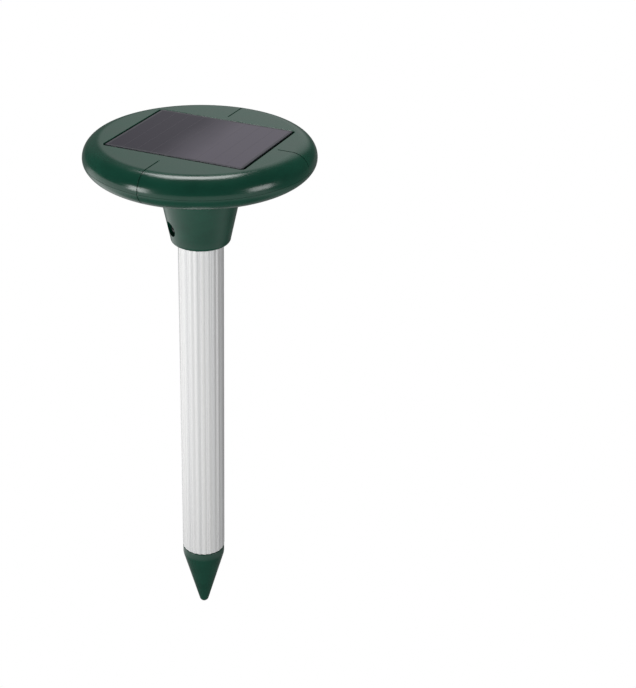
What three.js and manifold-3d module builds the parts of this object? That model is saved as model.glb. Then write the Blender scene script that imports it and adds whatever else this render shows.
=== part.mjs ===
// A solar stake that repels burrowing pests with sound: a round head that carries a solar panel,
// a tapered neck, a fluted aluminium tube and a pointed tip that goes into the ground.
// Millimetres, +Z up. The origin is the point of the tip, and the panel's long side lies along X.
import * as THREE from "three";
import { mergeVertices } from "three/addons/utils/BufferGeometryUtils.js";
import Module from "manifold-3d";

const wasm = await Module();
wasm.setup();

// ---- Driving dimensions ------------------------------------------------------------------------

const gap = 0.3; // clearance between neighbouring pieces
const roundSides = 48; // facets round the head
const smallSides = 24; // facets round the tip and the pieces inside the tube

// Head: two moulded shells that meet just under the widest plane. Its flat top is as wide as the
// panel's corners need, and its belly is as wide and as deep as the battery pack needs.
const panelMargin = 2.03; // flat left outside the panel's corners
const crownHeight = 12; // from the widest plane up to the flat top
const crownRun = 12.7; // width of the rounded rim above the widest plane
const shellWall = 2.4;
const partingDrop = 1; // parting line below the widest plane
const partingChamfer = 0.35;
const tongueHeight = 2;
const tongueWall = 0.85;
const sealHeight = 0.6;
const sealClear = 0.4; // room above the seal
const grooveWidth = 0.8; // three grooves run from near the panel over the rim
const grooveDepth = 0.6;
const grooveStart = 5.5; // from the panel's edge to where a groove starts
const frontGrooveX = -3.8; // the front and back grooves lie a little left of the middle
const backGrooveX = -2.2;
const rightGrooveY = 3; // the right groove lies a little behind the middle

// Solar panel, a laminate that lies in a well in the top cover.
const panelLength = 101;
const panelWidth = 79.5;
const panelCorner = 2;
const panelProud = 0.2; // how far the face stands above the cover
const panelEndFit = 1.4; // gap at the panel's short sides in its well
const panelSideFit = 0.5; // gap at its long sides
const faceThickness = 1.2;
const cellThickness = 0.3;
const cellMargin = 2;
const backingThickness = 1;
const gasketThickness = 0.8;
const gasketWidth = 7;
const layerGap = 0.1;
const wellFloor = 2;

// Neck, moulded in one with the bottom cover.
const neckLength = 48.2;
const neckWall = 4.7; // at the neck's lower end, outside the socket
const neckTopWall = 3.8; // at the socket's roof
const flareWall = 1; // the neck's hollow is this much wider than the neck at the underside
const neckSlope = 0.208; // outward taper per millimetre of height
const neckFillet = 3;
const flareRadius = 10;
const socketDepth = 36;
const socketRoof = 2.4;

// Stake tube and tip.
const tubeRadius = 16;
const tubeWall = 1.5;
const fluteCount = 24;
const fluteDepth = 0.35;
const tubeShown = 254.4; // length of tube between the tip and the neck
const tipLength = 54;
const tipBand = 6.2; // straight band at the top of the tip
const tipStep = 0.2; // the band is this much slimmer than the tube
const bandRounding = 12; // radius of the turn from the band to the cone
const tipNose = 3.6; // radius of the rounded point
const plugLength = 14;
const plugWall = 3;

// Screws that hold the neck to the tube, in round recesses.
const neckScrewHeight = 13.2; // above the neck's lower end
const neckScrewAngle = -126; // degrees from +X; the second screw is opposite
const recessRadius = 5.5;
const recessFloor = 2.4; // material left between the recess and the socket
const neckScrewHeadRadius = 3.1;
const neckScrewLength = 6;

// Screws that hold the shells together, driven from below.
const caseScrewInset = 3.7; // from the flat top's edge inwards
const caseScrewAngle = 63.43; // degrees from the X axis
const caseBossRadius = 5;
const caseScrewHeadRadius = 2.8;
const caseScrewBite = 5.6; // length of thread in the top cover
const screwHeadHeight = 2;
const screwShank = 1.5;
const counterboreDepth = 6.5; // above the underside

// Circuit board and what is on it.
const boardLength = 64;
const boardWidth = 40;
const boardThickness = 1.6;
const boardEdgeY = -10; // the board's edge nearest the axis
const boardScrewX = 28;
const postRadius = 3.2;
const postHoleDepth = 6;
const smallShank = 1.1;
const smallHeadRadius = 2.3;
const smallHeadHeight = 1.6;
const smallScrewLength = 5.5;
const socketSize = [8, 7, 5.6];
const socketWall = 1;
const socketInset = 1.5; // from the board's edge
const plugSize = [5.4, 8, 3];
const plugClear = 0.8; // between the plug's end and its socket
const connectorX = { battery: -20, sounder: 0, panel: 20 };
const chip = { length: 10, width: 4, height: 1.5, rise: 0.2, x: 5, inset: 3 };
const chipLegs = { count: 7, pitch: 1.27, width: 0.5, span: 6.4 };
const capacitor = { radius: 3.6, height: 6.4, x: -16, inset: 6 };
const inductor = { radius: 4, waist: 3, flange: 1.2, height: 6, x: 18, inset: 9 };

// Power button and its switch, on the underside.
const buttonRadius = 4.6;
const buttonProud = 1.9; // below the underside
const buttonTravel = 1.6;
const buttonFlange = 1.6; // extra radius of the flange that keeps it in
const buttonFlangeHeight = 1;
const buttonInset = 5; // from the board's far edge to the button's centre
const buttonRounding = 0.8;
const buttonStem = 2.2; // radius of the stem that pushes the plunger
const guideWall = 1.6;
const guideHeight = 2.2;
const switchSide = 8.4;
const switchHeight = 5;
const switchClear = 0.9; // between the pressed button's flange and the switch
const plungerRadius = 1.6;
const plungerHidden = 2.2; // length of the plunger inside the switch at rest
const buttonSealRadius = 0.35;

// Two rechargeable AA cells under a strap.
const cellRadius = 7.1;
const cellBody = 48.6;
const cellNub = 1.4;
const cellNubRadius = 2.6;
const cellSpacing = 0.4; // between the two cells
const packFront = 6.4; // from the axis to the tray's front lip
const traySideClear = 1.7;
const trayEndClear = 1.5;
const trayThickness = 1.5;
const trayLip = 6;
const trayCornerClear = 1.67; // from the tray's corners to where the belly starts to rise
const strapThickness = 1.4;
const strapInset = 2.3; // from each cell's axis to the strap's edge
const strapFoot = 6.6;
const strapFootDrop = 1; // below the cells' centres
const strapHoleShift = 0.8; // from the foot's middle towards the cells
const strapEndClear = 0.6;
const strapClear = 0.7; // between the strap and the panel's well
const tabThickness = 0.3;
const tabWidth = 5;

// Sounder, an electromagnetic capsule held in the lower end of the tube by two foam rings.
const sounderRise = 2.5; // above the tip's plug
const foamThickness = 1;
const sounderHeight = 14;
const sounderWall = 1;
const sounderRoof = 1.2;
const sounderCoverThickness = 1.2;
const diaphragmClear = 0.7;
const diaphragmDish = 0.5;
const diaphragmSheet = 0.25;
const diaphragmTravel = 0.3;
const poleRadius = 3.5;
const coilWall = 0.8;
const magnetHeight = 4.4;
const yokeThickness = 1.5;
const foamHeight = 4;
const foamInset = 0.5; // from each end of the sounder's case

const leadDiameter = 2.6; // twin lead to the sounder
const wireDiameter = 1.4; // single wires
const grommetWall = 3.6; // from the lead to the hole in the socket's roof
const panelWireClear = 1.1; // round the two wires in the well's floor
const panelWireInset = 6; // from the board's edge

// ---- Derived places ----------------------------------------------------------------------------

const laminate = gasketThickness + backingThickness + cellThickness + faceThickness + 4 * layerGap;
const wellDepth = laminate - panelProud;
const packHeight = trayThickness + 2 * cellRadius + strapThickness + 3 * gap;
const headDepth = wellDepth + wellFloor + strapClear + packHeight + shellWall;
const bellyHeight = headDepth - crownHeight; // from the widest plane down to the underside
const neckBottom = tipLength + tubeShown;
const underside = neckBottom + neckLength;
const equator = underside + bellyHeight;
const top = equator + crownHeight;
const parting = equator - partingDrop;
const floor = underside + shellWall; // inner floor of the head
const flatRadius = Math.hypot(panelLength, panelWidth) / 2 + panelMargin; // flat top
const headRadius = flatRadius + crownRun;
const innerRadius = headRadius - shellWall;
const wellBottom = top - wellDepth;
const roof = wellBottom - wellFloor; // underside of the well, the head's ceiling there
const ceiling = top - shellWall; // ceiling beside the well
const socketRadius = tubeRadius + gap;
const neckRadius = socketRadius + neckWall; // outside, at the neck's lower end
const socketTop = neckBottom + socketDepth;
const tubeBottom = tipLength + gap;
const tubeTop = socketTop - gap;
const tubeBore = tubeRadius - tubeWall;
const wireHole = leadDiameter / 2 + grommetWall;
const buttonRoom = layerGap + buttonFlangeHeight + buttonTravel + switchClear;
const boardBottom = floor + buttonRoom + switchHeight + 2 * layerGap;
const boardTop = boardBottom + boardThickness;
const boardCentreY = boardEdgeY - boardWidth / 2;
const buttonY = boardEdgeY - boardWidth + buttonInset;
const buttonHole = buttonRadius + gap;
const flangeRadius = buttonRadius + buttonFlange;
const switchBottom = boardBottom - 2 * layerGap - switchHeight;
const cellPitch = 2 * cellRadius + cellSpacing;
const trayWidth = cellPitch + 2 * cellRadius + 2 * traySideClear;
const packY = packFront + trayThickness + trayWidth / 2;
const trayBottom = floor + gap;
const cellLength = cellBody + cellNub;
const trayLength = cellLength + 2 * trayEndClear;
const trayReach = Math.hypot(trayLength / 2, packY + trayWidth / 2 + trayThickness);
const bellyRadius = trayReach + trayCornerClear; // flat underside
const bellyRun = headRadius - bellyRadius; // width of the rounded rim below the widest plane
const cellCentre = trayBottom + trayThickness + gap + cellRadius;
const strapWidth = cellPitch - 2 * strapInset;
const strapTop = cellCentre + cellRadius + gap + strapThickness;
const strapReach = cellLength / 2 + tabThickness + 2 * gap + strapThickness + strapEndClear;
const strapPostX = strapReach + strapFoot / 2 - strapHoleShift;
const strapFootTop = cellCentre - strapFootDrop;
const sounderBottom = tipLength + plugLength + sounderRise;
const sounderTop = sounderBottom + sounderCoverThickness + gap + sounderHeight;
const sounderRadius = tubeBore - 2 * gap - foamThickness;
const sounderBore = sounderRadius - sounderWall;
const diaphragmRadius = sounderBore - diaphragmClear;
const tongueTop = parting + tongueHeight - gap;
const sealBottom = tongueTop + 2 * layerGap;
const caseScrewSeat = underside + counterboreDepth - gap; // under the screw's head
const caseScrewLength = parting - caseScrewSeat + caseScrewBite;

// ---- Materials ---------------------------------------------------------------------------------

const finish = (color, roughness, metalness = 0) => ({ color, roughness, metalness });
const greenPlastic = finish(0x1d4a3a, 0.3);
const blackPlastic = finish(0x1b1c1e, 0.5);
const whitePlastic = finish(0xe6e4dc, 0.5);
const panelFilm = finish(0x3d3a45, 0.25);
const silicon = finish(0x23222c, 0.4);
const laminateBoard = finish(0x2c4034, 0.6);
const aluminium = finish(0xd7d9dc, 0.35, 1);
const steel = finish(0xb8bbbe, 0.35, 1);
const nickel = finish(0xc8c4b6, 0.3, 1);
const copper = finish(0xb8744a, 0.35, 1);
const rubber = finish(0x1f2122, 0.8);
const foam = finish(0x3a3b3d, 0.95);
const cellSleeve = finish(0x7fae5f, 0.4);
const ferrite = finish(0x33353a, 0.7);
const film = finish(0xd9c9a0, 0.4);
const redWire = finish(0xa8201c, 0.5);
const blackWire = finish(0x18181a, 0.5);

// ---- Shape helpers -----------------------------------------------------------------------------

const part = new THREE.Group();

// A closed geometry as a solid that can be cut and joined.
function solidOf(geometry) {
  const bare = geometry.clone();
  for (const name of Object.keys(bare.attributes)) {
    if (name !== "position") bare.deleteAttribute(name);
  }
  const merged = mergeVertices(bare, 1e-4);
  const mesh = new wasm.Mesh({
    numProp: 3,
    vertProperties: new Float32Array(merged.attributes.position.array),
    triVerts: new Uint32Array(merged.index.array),
  });
  return new wasm.Manifold(mesh);
}

function geometryOf(solid) {
  const mesh = solid.getMesh();
  const geometry = new THREE.BufferGeometry();
  geometry.setAttribute("position", new THREE.BufferAttribute(mesh.vertProperties, 3));
  geometry.setIndex(new THREE.BufferAttribute(mesh.triVerts, 1));
  geometry.computeVertexNormals();
  return geometry;
}

// Adds a named piece to the part. The shape is a geometry or a solid.
function piece(name, shape, look, parent = part) {
  const geometry = shape.isBufferGeometry ? shape : geometryOf(shape);
  const mesh = new THREE.Mesh(geometry, new THREE.MeshStandardMaterial(look));
  mesh.name = name;
  parent.add(mesh);
  return mesh;
}

const radians = THREE.MathUtils.degToRad;

// Points [r, z] along an elliptic arc, angles in degrees.
function arc(r, z, runR, runZ, from, to, steps) {
  return Array.from({ length: steps + 1 }, (_, i) => {
    const angle = radians(from + ((to - from) * i) / steps);
    return [r + runR * Math.cos(angle), z + runZ * Math.sin(angle)];
  });
}

// Turns a profile of [r, z] points, counter-clockwise, about the Z axis.
function revolve(profile, sides = roundSides) {
  const points = profile.map(([r, z]) => new THREE.Vector2(r, z));
  return new THREE.LatheGeometry(points, sides).rotateX(Math.PI / 2);
}

const closed = (profile) => [...profile, profile[0]];

function cylinder(radius, bottom, height, x = 0, y = 0, sides = 24) {
  return new THREE.CylinderGeometry(radius, radius, height, sides)
    .rotateX(Math.PI / 2)
    .translate(x, y, bottom + height / 2);
}

function ring(inner, outer, bottom, height, sides = smallSides) {
  const high = bottom + height;
  return revolve(closed([[inner, bottom], [outer, bottom], [outer, high], [inner, high]]), sides);
}

// A box given by its size, the centre of its plan and its lowest height.
function box(length, width, height, x, y, bottom) {
  return new THREE.BoxGeometry(length, width, height).translate(x, y, bottom + height / 2);
}

function roundedRectangle(length, width, corner) {
  const [x, y] = [length / 2, width / 2];
  return new THREE.Shape()
    .moveTo(x - corner, -y)
    .absarc(x - corner, -y + corner, corner, -Math.PI / 2, 0)
    .absarc(x - corner, y - corner, corner, 0, Math.PI / 2)
    .absarc(-x + corner, y - corner, corner, Math.PI / 2, Math.PI)
    .absarc(-x + corner, -y + corner, corner, Math.PI, 1.5 * Math.PI);
}

function plate(shape, bottom, thickness, curveSegments = 3) {
  return new THREE.ExtrudeGeometry(shape, {
    depth: thickness,
    bevelEnabled: false,
    curveSegments,
  }).translate(0, 0, bottom);
}

function circlePath(radius, x = 0, y = 0) {
  return new THREE.Path().absarc(x, y, radius, 0, 2 * Math.PI, true);
}

// A round wire along a smooth curve through the given points.
function wire(points, diameter, steps = 18) {
  const curve = new THREE.CatmullRomCurve3(points.map((p) => new THREE.Vector3(...p)));
  const section = new THREE.Shape().absarc(0, 0, diameter / 2, 0, 2 * Math.PI);
  return new THREE.ExtrudeGeometry(section, {
    extrudePath: curve,
    steps,
    curveSegments: 3,
    bevelEnabled: false,
  });
}

// A screw that points up: pan head from z = 0 up, shank above it, point at the end.
function screwShape(shank, headSize, headHeight, length) {
  const tip = headHeight + length;
  const edge = headHeight / 4; // rounding of the head's edge
  return revolve(
    [
      [0, 0],
      [headSize - edge, 0],
      [headSize, edge],
      [headSize, headHeight],
      [shank, headHeight],
      [shank, tip - shank],
      [shank / 8, tip],
      [0, tip],
    ],
    12,
  );
}

// A small screw driven down into a post, its head on the given height.
function smallScrew(x, y, seat) {
  return screwShape(smallShank, smallHeadRadius, smallHeadHeight, smallScrewLength)
    .rotateX(Math.PI)
    .translate(x, y, seat + layerGap + smallHeadHeight);
}

// ---- Head: outline shared by both covers -------------------------------------------------------

// Outer radius of the head at a height, on the crown or on the belly.
function rimRadius(z, inset = 0) {
  const rise = z - equator;
  const [centre, run, height] =
    rise > 0 ? [flatRadius, crownRun, crownHeight] : [bellyRadius, bellyRun, bellyHeight];
  const share = Math.min(1, Math.abs(rise) / (height - inset));
  return centre + (run - inset) * Math.sqrt(1 - share * share);
}

const partingAngle = THREE.MathUtils.radToDeg(Math.asin(partingDrop / bellyHeight));
const rebateRadius = innerRadius + tongueWall + gap;

// The head as one solid, drawn in by an inset, used to cut the grooves to an even depth.
function headSolid(inset) {
  const crown = arc(flatRadius, equator, crownRun - inset, crownHeight - inset, 0, 90, 6);
  const belly = arc(bellyRadius, equator, bellyRun - inset, bellyHeight - inset, -90, 0, 6);
  return solidOf(
    revolve([[0, underside + inset], ...belly, ...crown.slice(1), [0, top - inset]]),
  );
}

// Three narrow grooves in the head's skin, at the front, the back and the right, from near the
// panel over the rim to the belly.
function grooveCutters() {
  const past = 5; // how far the blades reach past the head
  const reach = headRadius + past;
  const startX = panelLength / 2 + grooveStart;
  const startY = panelWidth / 2 + grooveStart;
  const low = underside + shellWall;
  const tall = top - low + past;
  const blades = [
    [grooveWidth, reach - startY, frontGrooveX, -(reach + startY) / 2],
    [grooveWidth, reach - startY, backGrooveX, (reach + startY) / 2],
    [reach - startX, grooveWidth, (reach + startX) / 2, rightGrooveY],
  ];
  const core = headSolid(grooveDepth);
  return blades.map(([length, width, x, y]) =>
    solidOf(box(length, width, tall, x, y, low)).subtract(core),
  );
}

const grooves = grooveCutters();
const cut = (solid, cutters) => cutters.reduce((left, cutter) => left.subtract(cutter), solid);
const join = (solid, extras) => extras.reduce((sum, extra) => sum.add(extra), solid);

const caseScrewX = (flatRadius - caseScrewInset) * Math.cos(radians(caseScrewAngle));
const caseScrewY = (flatRadius - caseScrewInset) * Math.sin(radians(caseScrewAngle));
const caseScrewPlaces = [
  [caseScrewX, caseScrewY],
  [-caseScrewX, caseScrewY],
  [-caseScrewX, -caseScrewY],
  [caseScrewX, -caseScrewY],
];
const bossJoint = parting; // height where the upper and lower screw bosses meet

// ---- Top cover ---------------------------------------------------------------------------------

const panelWireX = connectorX.panel;
const panelWireY = boardEdgeY + panelWireInset;
const wireSpread = wireDiameter / 2 + 2 * layerGap; // from the pair's middle to each wire's
const panelWireHole = wireSpread + wireDiameter / 2 + panelWireClear;

function topCover() {
  const edge = rimRadius(parting);
  const crown = arc(flatRadius, equator, crownRun, crownHeight, 0, 90, 6);
  const outside = solidOf(
    revolve([
      [0, parting],
      [edge - partingChamfer, parting],
      [edge, parting + partingChamfer],
      ...crown,
      [0, top],
    ]),
  );
  const innerCrown = arc(
    flatRadius, equator, crownRun - shellWall, crownHeight - shellWall, 0, 90, 4,
  );
  const inside = solidOf(
    revolve([[0, parting - 1], [innerRadius, parting - 1], ...innerCrown, [0, ceiling]]),
  );
  const rebateTop = sealBottom + sealHeight + sealClear;
  const rebate = solidOf(
    cylinder(rebateRadius, parting - 1, rebateTop - parting + 1, 0, 0, roundSides),
  );
  const wellLength = panelLength + 2 * panelEndFit;
  const wellWidth = panelWidth + 2 * panelSideFit;
  const corner = panelCorner + panelSideFit;
  const pan = solidOf(
    plate(
      roundedRectangle(wellLength + 2 * shellWall, wellWidth + 2 * shellWall, corner + shellWall),
      roof,
      top - roof - shellWall / 2,
    ),
  );
  const pocket = solidOf(
    plate(roundedRectangle(wellLength, wellWidth, corner), wellBottom, wellDepth + 1),
  );
  const bosses = caseScrewPlaces.map(([x, y]) =>
    solidOf(cylinder(caseBossRadius, bossJoint, top - bossJoint - shellWall / 2, x, y, 12)),
  );
  const pilots = caseScrewPlaces.map(([x, y]) =>
    solidOf(cylinder(screwShank + gap, bossJoint - 1, ceiling - bossJoint, x, y, 12)),
  );
  const wireWay = solidOf(
    cylinder(panelWireHole, roof - 1, wellFloor + 2, panelWireX, panelWireY, 16),
  );
  const shell = join(outside.subtract(inside).subtract(rebate), [pan, ...bosses]);
  return cut(shell, [pocket, ...pilots, wireWay, ...grooves]);
}

// ---- Bottom cover with the neck ----------------------------------------------------------------

const boardPosts = [
  [boardScrewX, boardCentreY],
  [-boardScrewX, boardCentreY],
];
const strapPosts = [
  [strapPostX, packY],
  [-strapPostX, packY],
];

// The neck's outside at a height on its straight taper.
const neckRadiusAt = (z) => neckRadius + neckSlope * (z - neckBottom - neckFillet);

// The concave flare between the neck's taper and the flat underside.
function neckFlare() {
  const lean = Math.atan(neckSlope);
  const tangent = flareRadius * Math.tan((Math.PI / 2 - lean) / 2);
  const centreR = neckRadiusAt(underside) + tangent;
  const centreZ = underside - flareRadius;
  return arc(
    centreR, centreZ, flareRadius, flareRadius, 180 - THREE.MathUtils.radToDeg(lean), 90, 4,
  );
}

function coverSection() {
  const edge = rimRadius(parting);
  const seat = parting - gap;
  const belly = arc(
    bellyRadius, equator, bellyRun, bellyHeight, -90, -partingAngle - 2.2, 6,
  );
  const innerBelly = arc(
    bellyRadius, equator, bellyRun - shellWall, bellyHeight - shellWall, -4, -90, 4,
  );
  const neckInside = neckRadiusAt(socketTop + socketRoof) - neckTopWall;
  return closed([
    [socketRadius, neckBottom],
    ...arc(neckRadius - neckFillet, neckBottom + neckFillet, neckFillet, neckFillet, -90, 0, 3),
    ...neckFlare(),
    ...belly,
    [edge - partingChamfer, seat],
    [innerRadius + tongueWall, seat],
    [innerRadius + tongueWall, tongueTop],
    [innerRadius, tongueTop],
    ...innerBelly,
    [neckRadiusAt(underside) + flareWall, floor],
    [neckInside, socketTop + socketRoof],
    [wireHole, socketTop + socketRoof],
    [wireHole, socketTop],
    [socketRadius, socketTop],
  ]);
}

// Radial cylinders at the two neck screws, from one radius outwards.
function neckScrewCutters(radius, from, length) {
  return [0, 180].map((turn) =>
    solidOf(
      new THREE.CylinderGeometry(radius, radius, length, 16)
        .rotateZ(-Math.PI / 2)
        .translate(from + length / 2, 0, neckBottom + neckScrewHeight)
        .rotateZ(radians(neckScrewAngle + turn)),
    ),
  );
}

function bottomCover() {
  const cavity = (x, y, radius, bottom, height) =>
    solidOf(cylinder(radius, bottom, height, x, y, 12));
  const bossLimit = headSolid(shellWall / 2);
  const caseBosses = caseScrewPlaces.map(([x, y]) =>
    cavity(x, y, caseBossRadius, underside, bossJoint - gap - underside).intersect(bossLimit),
  );
  const counterbores = caseScrewPlaces.map(([x, y]) =>
    cavity(x, y, caseScrewHeadRadius + gap, underside - 1, counterboreDepth + 1),
  );
  const screwHoles = caseScrewPlaces.map(([x, y]) =>
    cavity(x, y, screwShank + gap, underside, bossJoint - underside),
  );
  const posts = [
    ...boardPosts.map(([x, y]) => [x, y, boardBottom - gap]),
    ...strapPosts.map(([x, y]) => [x, y, strapFootTop - strapThickness - gap]),
  ];
  const postSolids = posts.map(([x, y, high]) =>
    cavity(x, y, postRadius, floor - shellWall / 2, high - floor + shellWall / 2),
  );
  const postHoles = posts.map(([x, y, high]) =>
    cavity(x, y, smallShank + gap, high - postHoleDepth, postHoleDepth + 1),
  );
  const guideRadius = flangeRadius + gap + guideWall;
  const guide = solidOf(
    cylinder(guideRadius, floor - shellWall / 2, shellWall / 2 + guideHeight, 0, buttonY, 20),
  );
  const guideBore = solidOf(cylinder(flangeRadius + gap, floor, 5, 0, buttonY, 20));
  const buttonWay = solidOf(cylinder(buttonHole, underside - 1, shellWall + 2, 0, buttonY, 20));
  const solid = join(solidOf(revolve(coverSection())), [...caseBosses, ...postSolids, guide]);
  return cut(solid, [
    ...counterbores,
    ...screwHoles,
    ...postHoles,
    guideBore,
    buttonWay,
    ...neckScrewCutters(recessRadius, socketRadius + recessFloor, 20),
    ...neckScrewCutters(screwShank + gap, socketRadius - 3, 10),
    ...grooves,
  ]);
}

// ---- Stake tube and tip ------------------------------------------------------------------------

// The tube's section: shallow round flutes outside, a plain bore inside.
function tubeSection() {
  const steps = fluteCount * 4; // four facets to a flute
  const section = new THREE.Shape(
    Array.from({ length: steps }, (_, i) => {
      const angle = (2 * Math.PI * i) / steps;
      const dip = fluteDepth * (0.5 - 0.5 * Math.cos(fluteCount * angle));
      const radius = tubeRadius - dip;
      return new THREE.Vector2(radius * Math.cos(angle), radius * Math.sin(angle));
    }),
  );
  section.holes.push(circlePath(tubeBore));
  return section;
}

function stakeTube() {
  const tube = plate(tubeSection(), tubeBottom, tubeTop - tubeBottom, 48);
  return cut(solidOf(tube), neckScrewCutters(screwShank + gap, tubeBore - 2, 6));
}

function tipCone() {
  const bandRadius = tubeRadius - tipStep;
  const coneTop = tipLength - tipBand;
  const slant = Math.atan((bandRadius - tipNose) / coneTop);
  const lean = THREE.MathUtils.radToDeg(slant);
  const turnR = bandRadius - bandRounding;
  const turnZ = coneTop + bandRounding * Math.tan(slant / 2);
  const plugTop = tipLength + plugLength;
  const plugRadius = tubeBore - gap;
  const coreRadius = plugRadius - plugWall;
  return revolve(
    [
      ...arc(0, tipNose, tipNose, tipNose, -90, -lean, 5),
      ...arc(turnR, turnZ, bandRounding, bandRounding, -lean, 0, 3),
      [bandRadius, tipLength],
      [plugRadius, tipLength],
      [plugRadius, plugTop - 1],
      [plugRadius - 1, plugTop],
      [coreRadius, plugTop],
      [coreRadius, coneTop - plugWall],
      [coreRadius / 4, tipLength / 2],
      [0, tipLength / 2],
    ],
    smallSides,
  );
}

// ---- Solar panel -------------------------------------------------------------------------------

function solarPanel() {
  const gasketBottom = wellBottom + layerGap;
  const backingBottom = gasketBottom + gasketThickness + layerGap;
  const cellBottom = backingBottom + backingThickness + layerGap;
  const faceBottom = cellBottom + cellThickness + layerGap;
  const gasket = roundedRectangle(panelLength, panelWidth, panelCorner);
  gasket.holes.push(
    new THREE.Path(
      roundedRectangle(
        panelLength - 2 * gasketWidth, panelWidth - 2 * gasketWidth, panelCorner,
      ).getPoints(4).slice(0, -1).reverse(),
    ),
  );
  const full = roundedRectangle(panelLength, panelWidth, panelCorner);
  const cells = roundedRectangle(panelLength - 2 * cellMargin, panelWidth - 2 * cellMargin, 0.8);
  piece("panel_gasket", plate(gasket, gasketBottom, gasketThickness), foam);
  piece("panel_backing", plate(full, backingBottom, backingThickness), laminateBoard);
  piece("solar_cells", plate(cells, cellBottom, cellThickness), silicon);
  piece("panel_face", plate(full, faceBottom, faceThickness), panelFilm);
}

// ---- Circuit board and connectors --------------------------------------------------------------

const socketBack = boardEdgeY - socketInset - socketSize[1];
const plugBack = socketBack + socketWall + plugClear + plugSize[1];
const plugHeight = boardTop + layerGap + socketWall + gap + plugSize[2] / 2;

function connector(name, x, look) {
  const [length, width, height] = socketSize;
  const centreY = socketBack + width / 2;
  const bottom = boardTop + layerGap;
  const body = solidOf(box(length, width, height, x, centreY, bottom));
  const hollow = solidOf(
    box(
      length - 2 * socketWall, width, height - 2 * socketWall,
      x, centreY + socketWall, bottom + socketWall,
    ),
  );
  piece(`${name}_socket`, body.subtract(hollow), whitePlastic);
  const plug = box(
    plugSize[0], plugSize[1], plugSize[2], x, plugBack - plugSize[1] / 2,
    plugHeight - plugSize[2] / 2,
  );
  piece(`${name}_plug`, plug, look);
}

function circuitBoard() {
  const outline = new THREE.Shape([
    new THREE.Vector2(-boardLength / 2, boardEdgeY - boardWidth),
    new THREE.Vector2(boardLength / 2, boardEdgeY - boardWidth),
    new THREE.Vector2(boardLength / 2, boardEdgeY),
    new THREE.Vector2(-boardLength / 2, boardEdgeY),
  ]);
  for (const [x, y] of boardPosts) outline.holes.push(circlePath(smallShank + gap, x, y));
  piece("circuit_board", plate(outline, boardBottom, boardThickness, 4), laminateBoard);
  boardPosts.forEach(([x, y], i) => {
    piece(`board_screw_${i + 1}`, smallScrew(x, y, boardTop), steel);
  });

  const seat = boardTop + layerGap;
  const chipY = boardCentreY - chip.inset;
  const chipBody = solidOf(
    box(chip.length, chip.width, chip.height, chip.x, chipY, seat + chip.rise),
  );
  const legs = Array.from({ length: chipLegs.count }, (_, i) => {
    const x = chip.x + (i - (chipLegs.count - 1) / 2) * chipLegs.pitch;
    return solidOf(box(chipLegs.width, chipLegs.span, chipLegs.width, x, chipY, seat));
  });
  piece("controller_chip", join(chipBody, legs), blackPlastic);
  const can = cylinder(
    capacitor.radius, seat, capacitor.height, capacitor.x, boardCentreY - capacitor.inset, 24,
  );
  piece("storage_capacitor", can, blackPlastic);
  const { radius, waist, flange, height } = inductor;
  const slope = (radius - waist) * 0.6; // height of the slope from flange to waist
  const half = [[radius, 0], [radius, flange], [waist, flange + slope]];
  const drum = [[0, 0], ...half, ...half.map(([r, z]) => [r, height - z]).reverse(), [0, height]];
  const core = revolve(drum.map(([r, z]) => [r, z + seat]), 24);
  piece("boost_inductor", core.translate(inductor.x, boardCentreY - inductor.inset, 0), ferrite);

  connector("battery", connectorX.battery, whitePlastic);
  connector("sounder", connectorX.sounder, whitePlastic);
}

// ---- Power button and switch -------------------------------------------------------------------

function powerButton() {
  const flangeBottom = floor + layerGap;
  const stemTop = switchBottom - buttonTravel - gap;
  const flangeTop = flangeBottom + buttonFlangeHeight;
  const low = underside - buttonProud;
  const ringHeight = underside + shellWall / 2;
  const grooveHalf = buttonSealRadius + gap / 2;
  const grooveFloor = buttonRadius - 2 * buttonSealRadius - gap / 2;
  const cap = revolve(
    [
      [0, low],
      ...arc(
        buttonRadius - buttonRounding, low + buttonRounding, buttonRounding, buttonRounding,
        -90, 0, 3,
      ),
      [buttonRadius, ringHeight - grooveHalf],
      [grooveFloor, ringHeight - grooveHalf],
      [grooveFloor, ringHeight + grooveHalf],
      [buttonRadius, ringHeight + grooveHalf],
      [buttonRadius, flangeBottom],
      [flangeRadius, flangeBottom],
      [flangeRadius, flangeTop],
      [buttonStem, flangeTop],
      [buttonStem, stemTop],
      [0, stemTop],
    ],
    20,
  );
  piece("power_button", cap.translate(0, buttonY, 0), blackPlastic);
  const sealCentre = buttonRadius - buttonSealRadius + gap / 2;
  const sealRing = revolve(
    closed(arc(sealCentre, ringHeight, buttonSealRadius, buttonSealRadius, 0, 300, 5)), 24,
  );
  piece("button_seal", sealRing.translate(0, buttonY, 0), rubber);

  const plungerHeight = buttonTravel + gap + plungerHidden;
  const body = solidOf(box(switchSide, switchSide, switchHeight, 0, buttonY, switchBottom));
  const bore = solidOf(
    cylinder(plungerRadius + gap, switchBottom - 1, 1 + plungerHeight, 0, buttonY, 16),
  );
  piece("switch_body", body.subtract(bore), blackPlastic);
  const plunger = cylinder(
    plungerRadius, stemTop + layerGap, plungerHeight - 2 * layerGap, 0, buttonY, 16,
  );
  piece("switch_plunger", plunger, whitePlastic);
}

// ---- Battery pack ------------------------------------------------------------------------------

const cellPlaces = [packY - cellPitch / 2, packY + cellPitch / 2];

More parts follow.
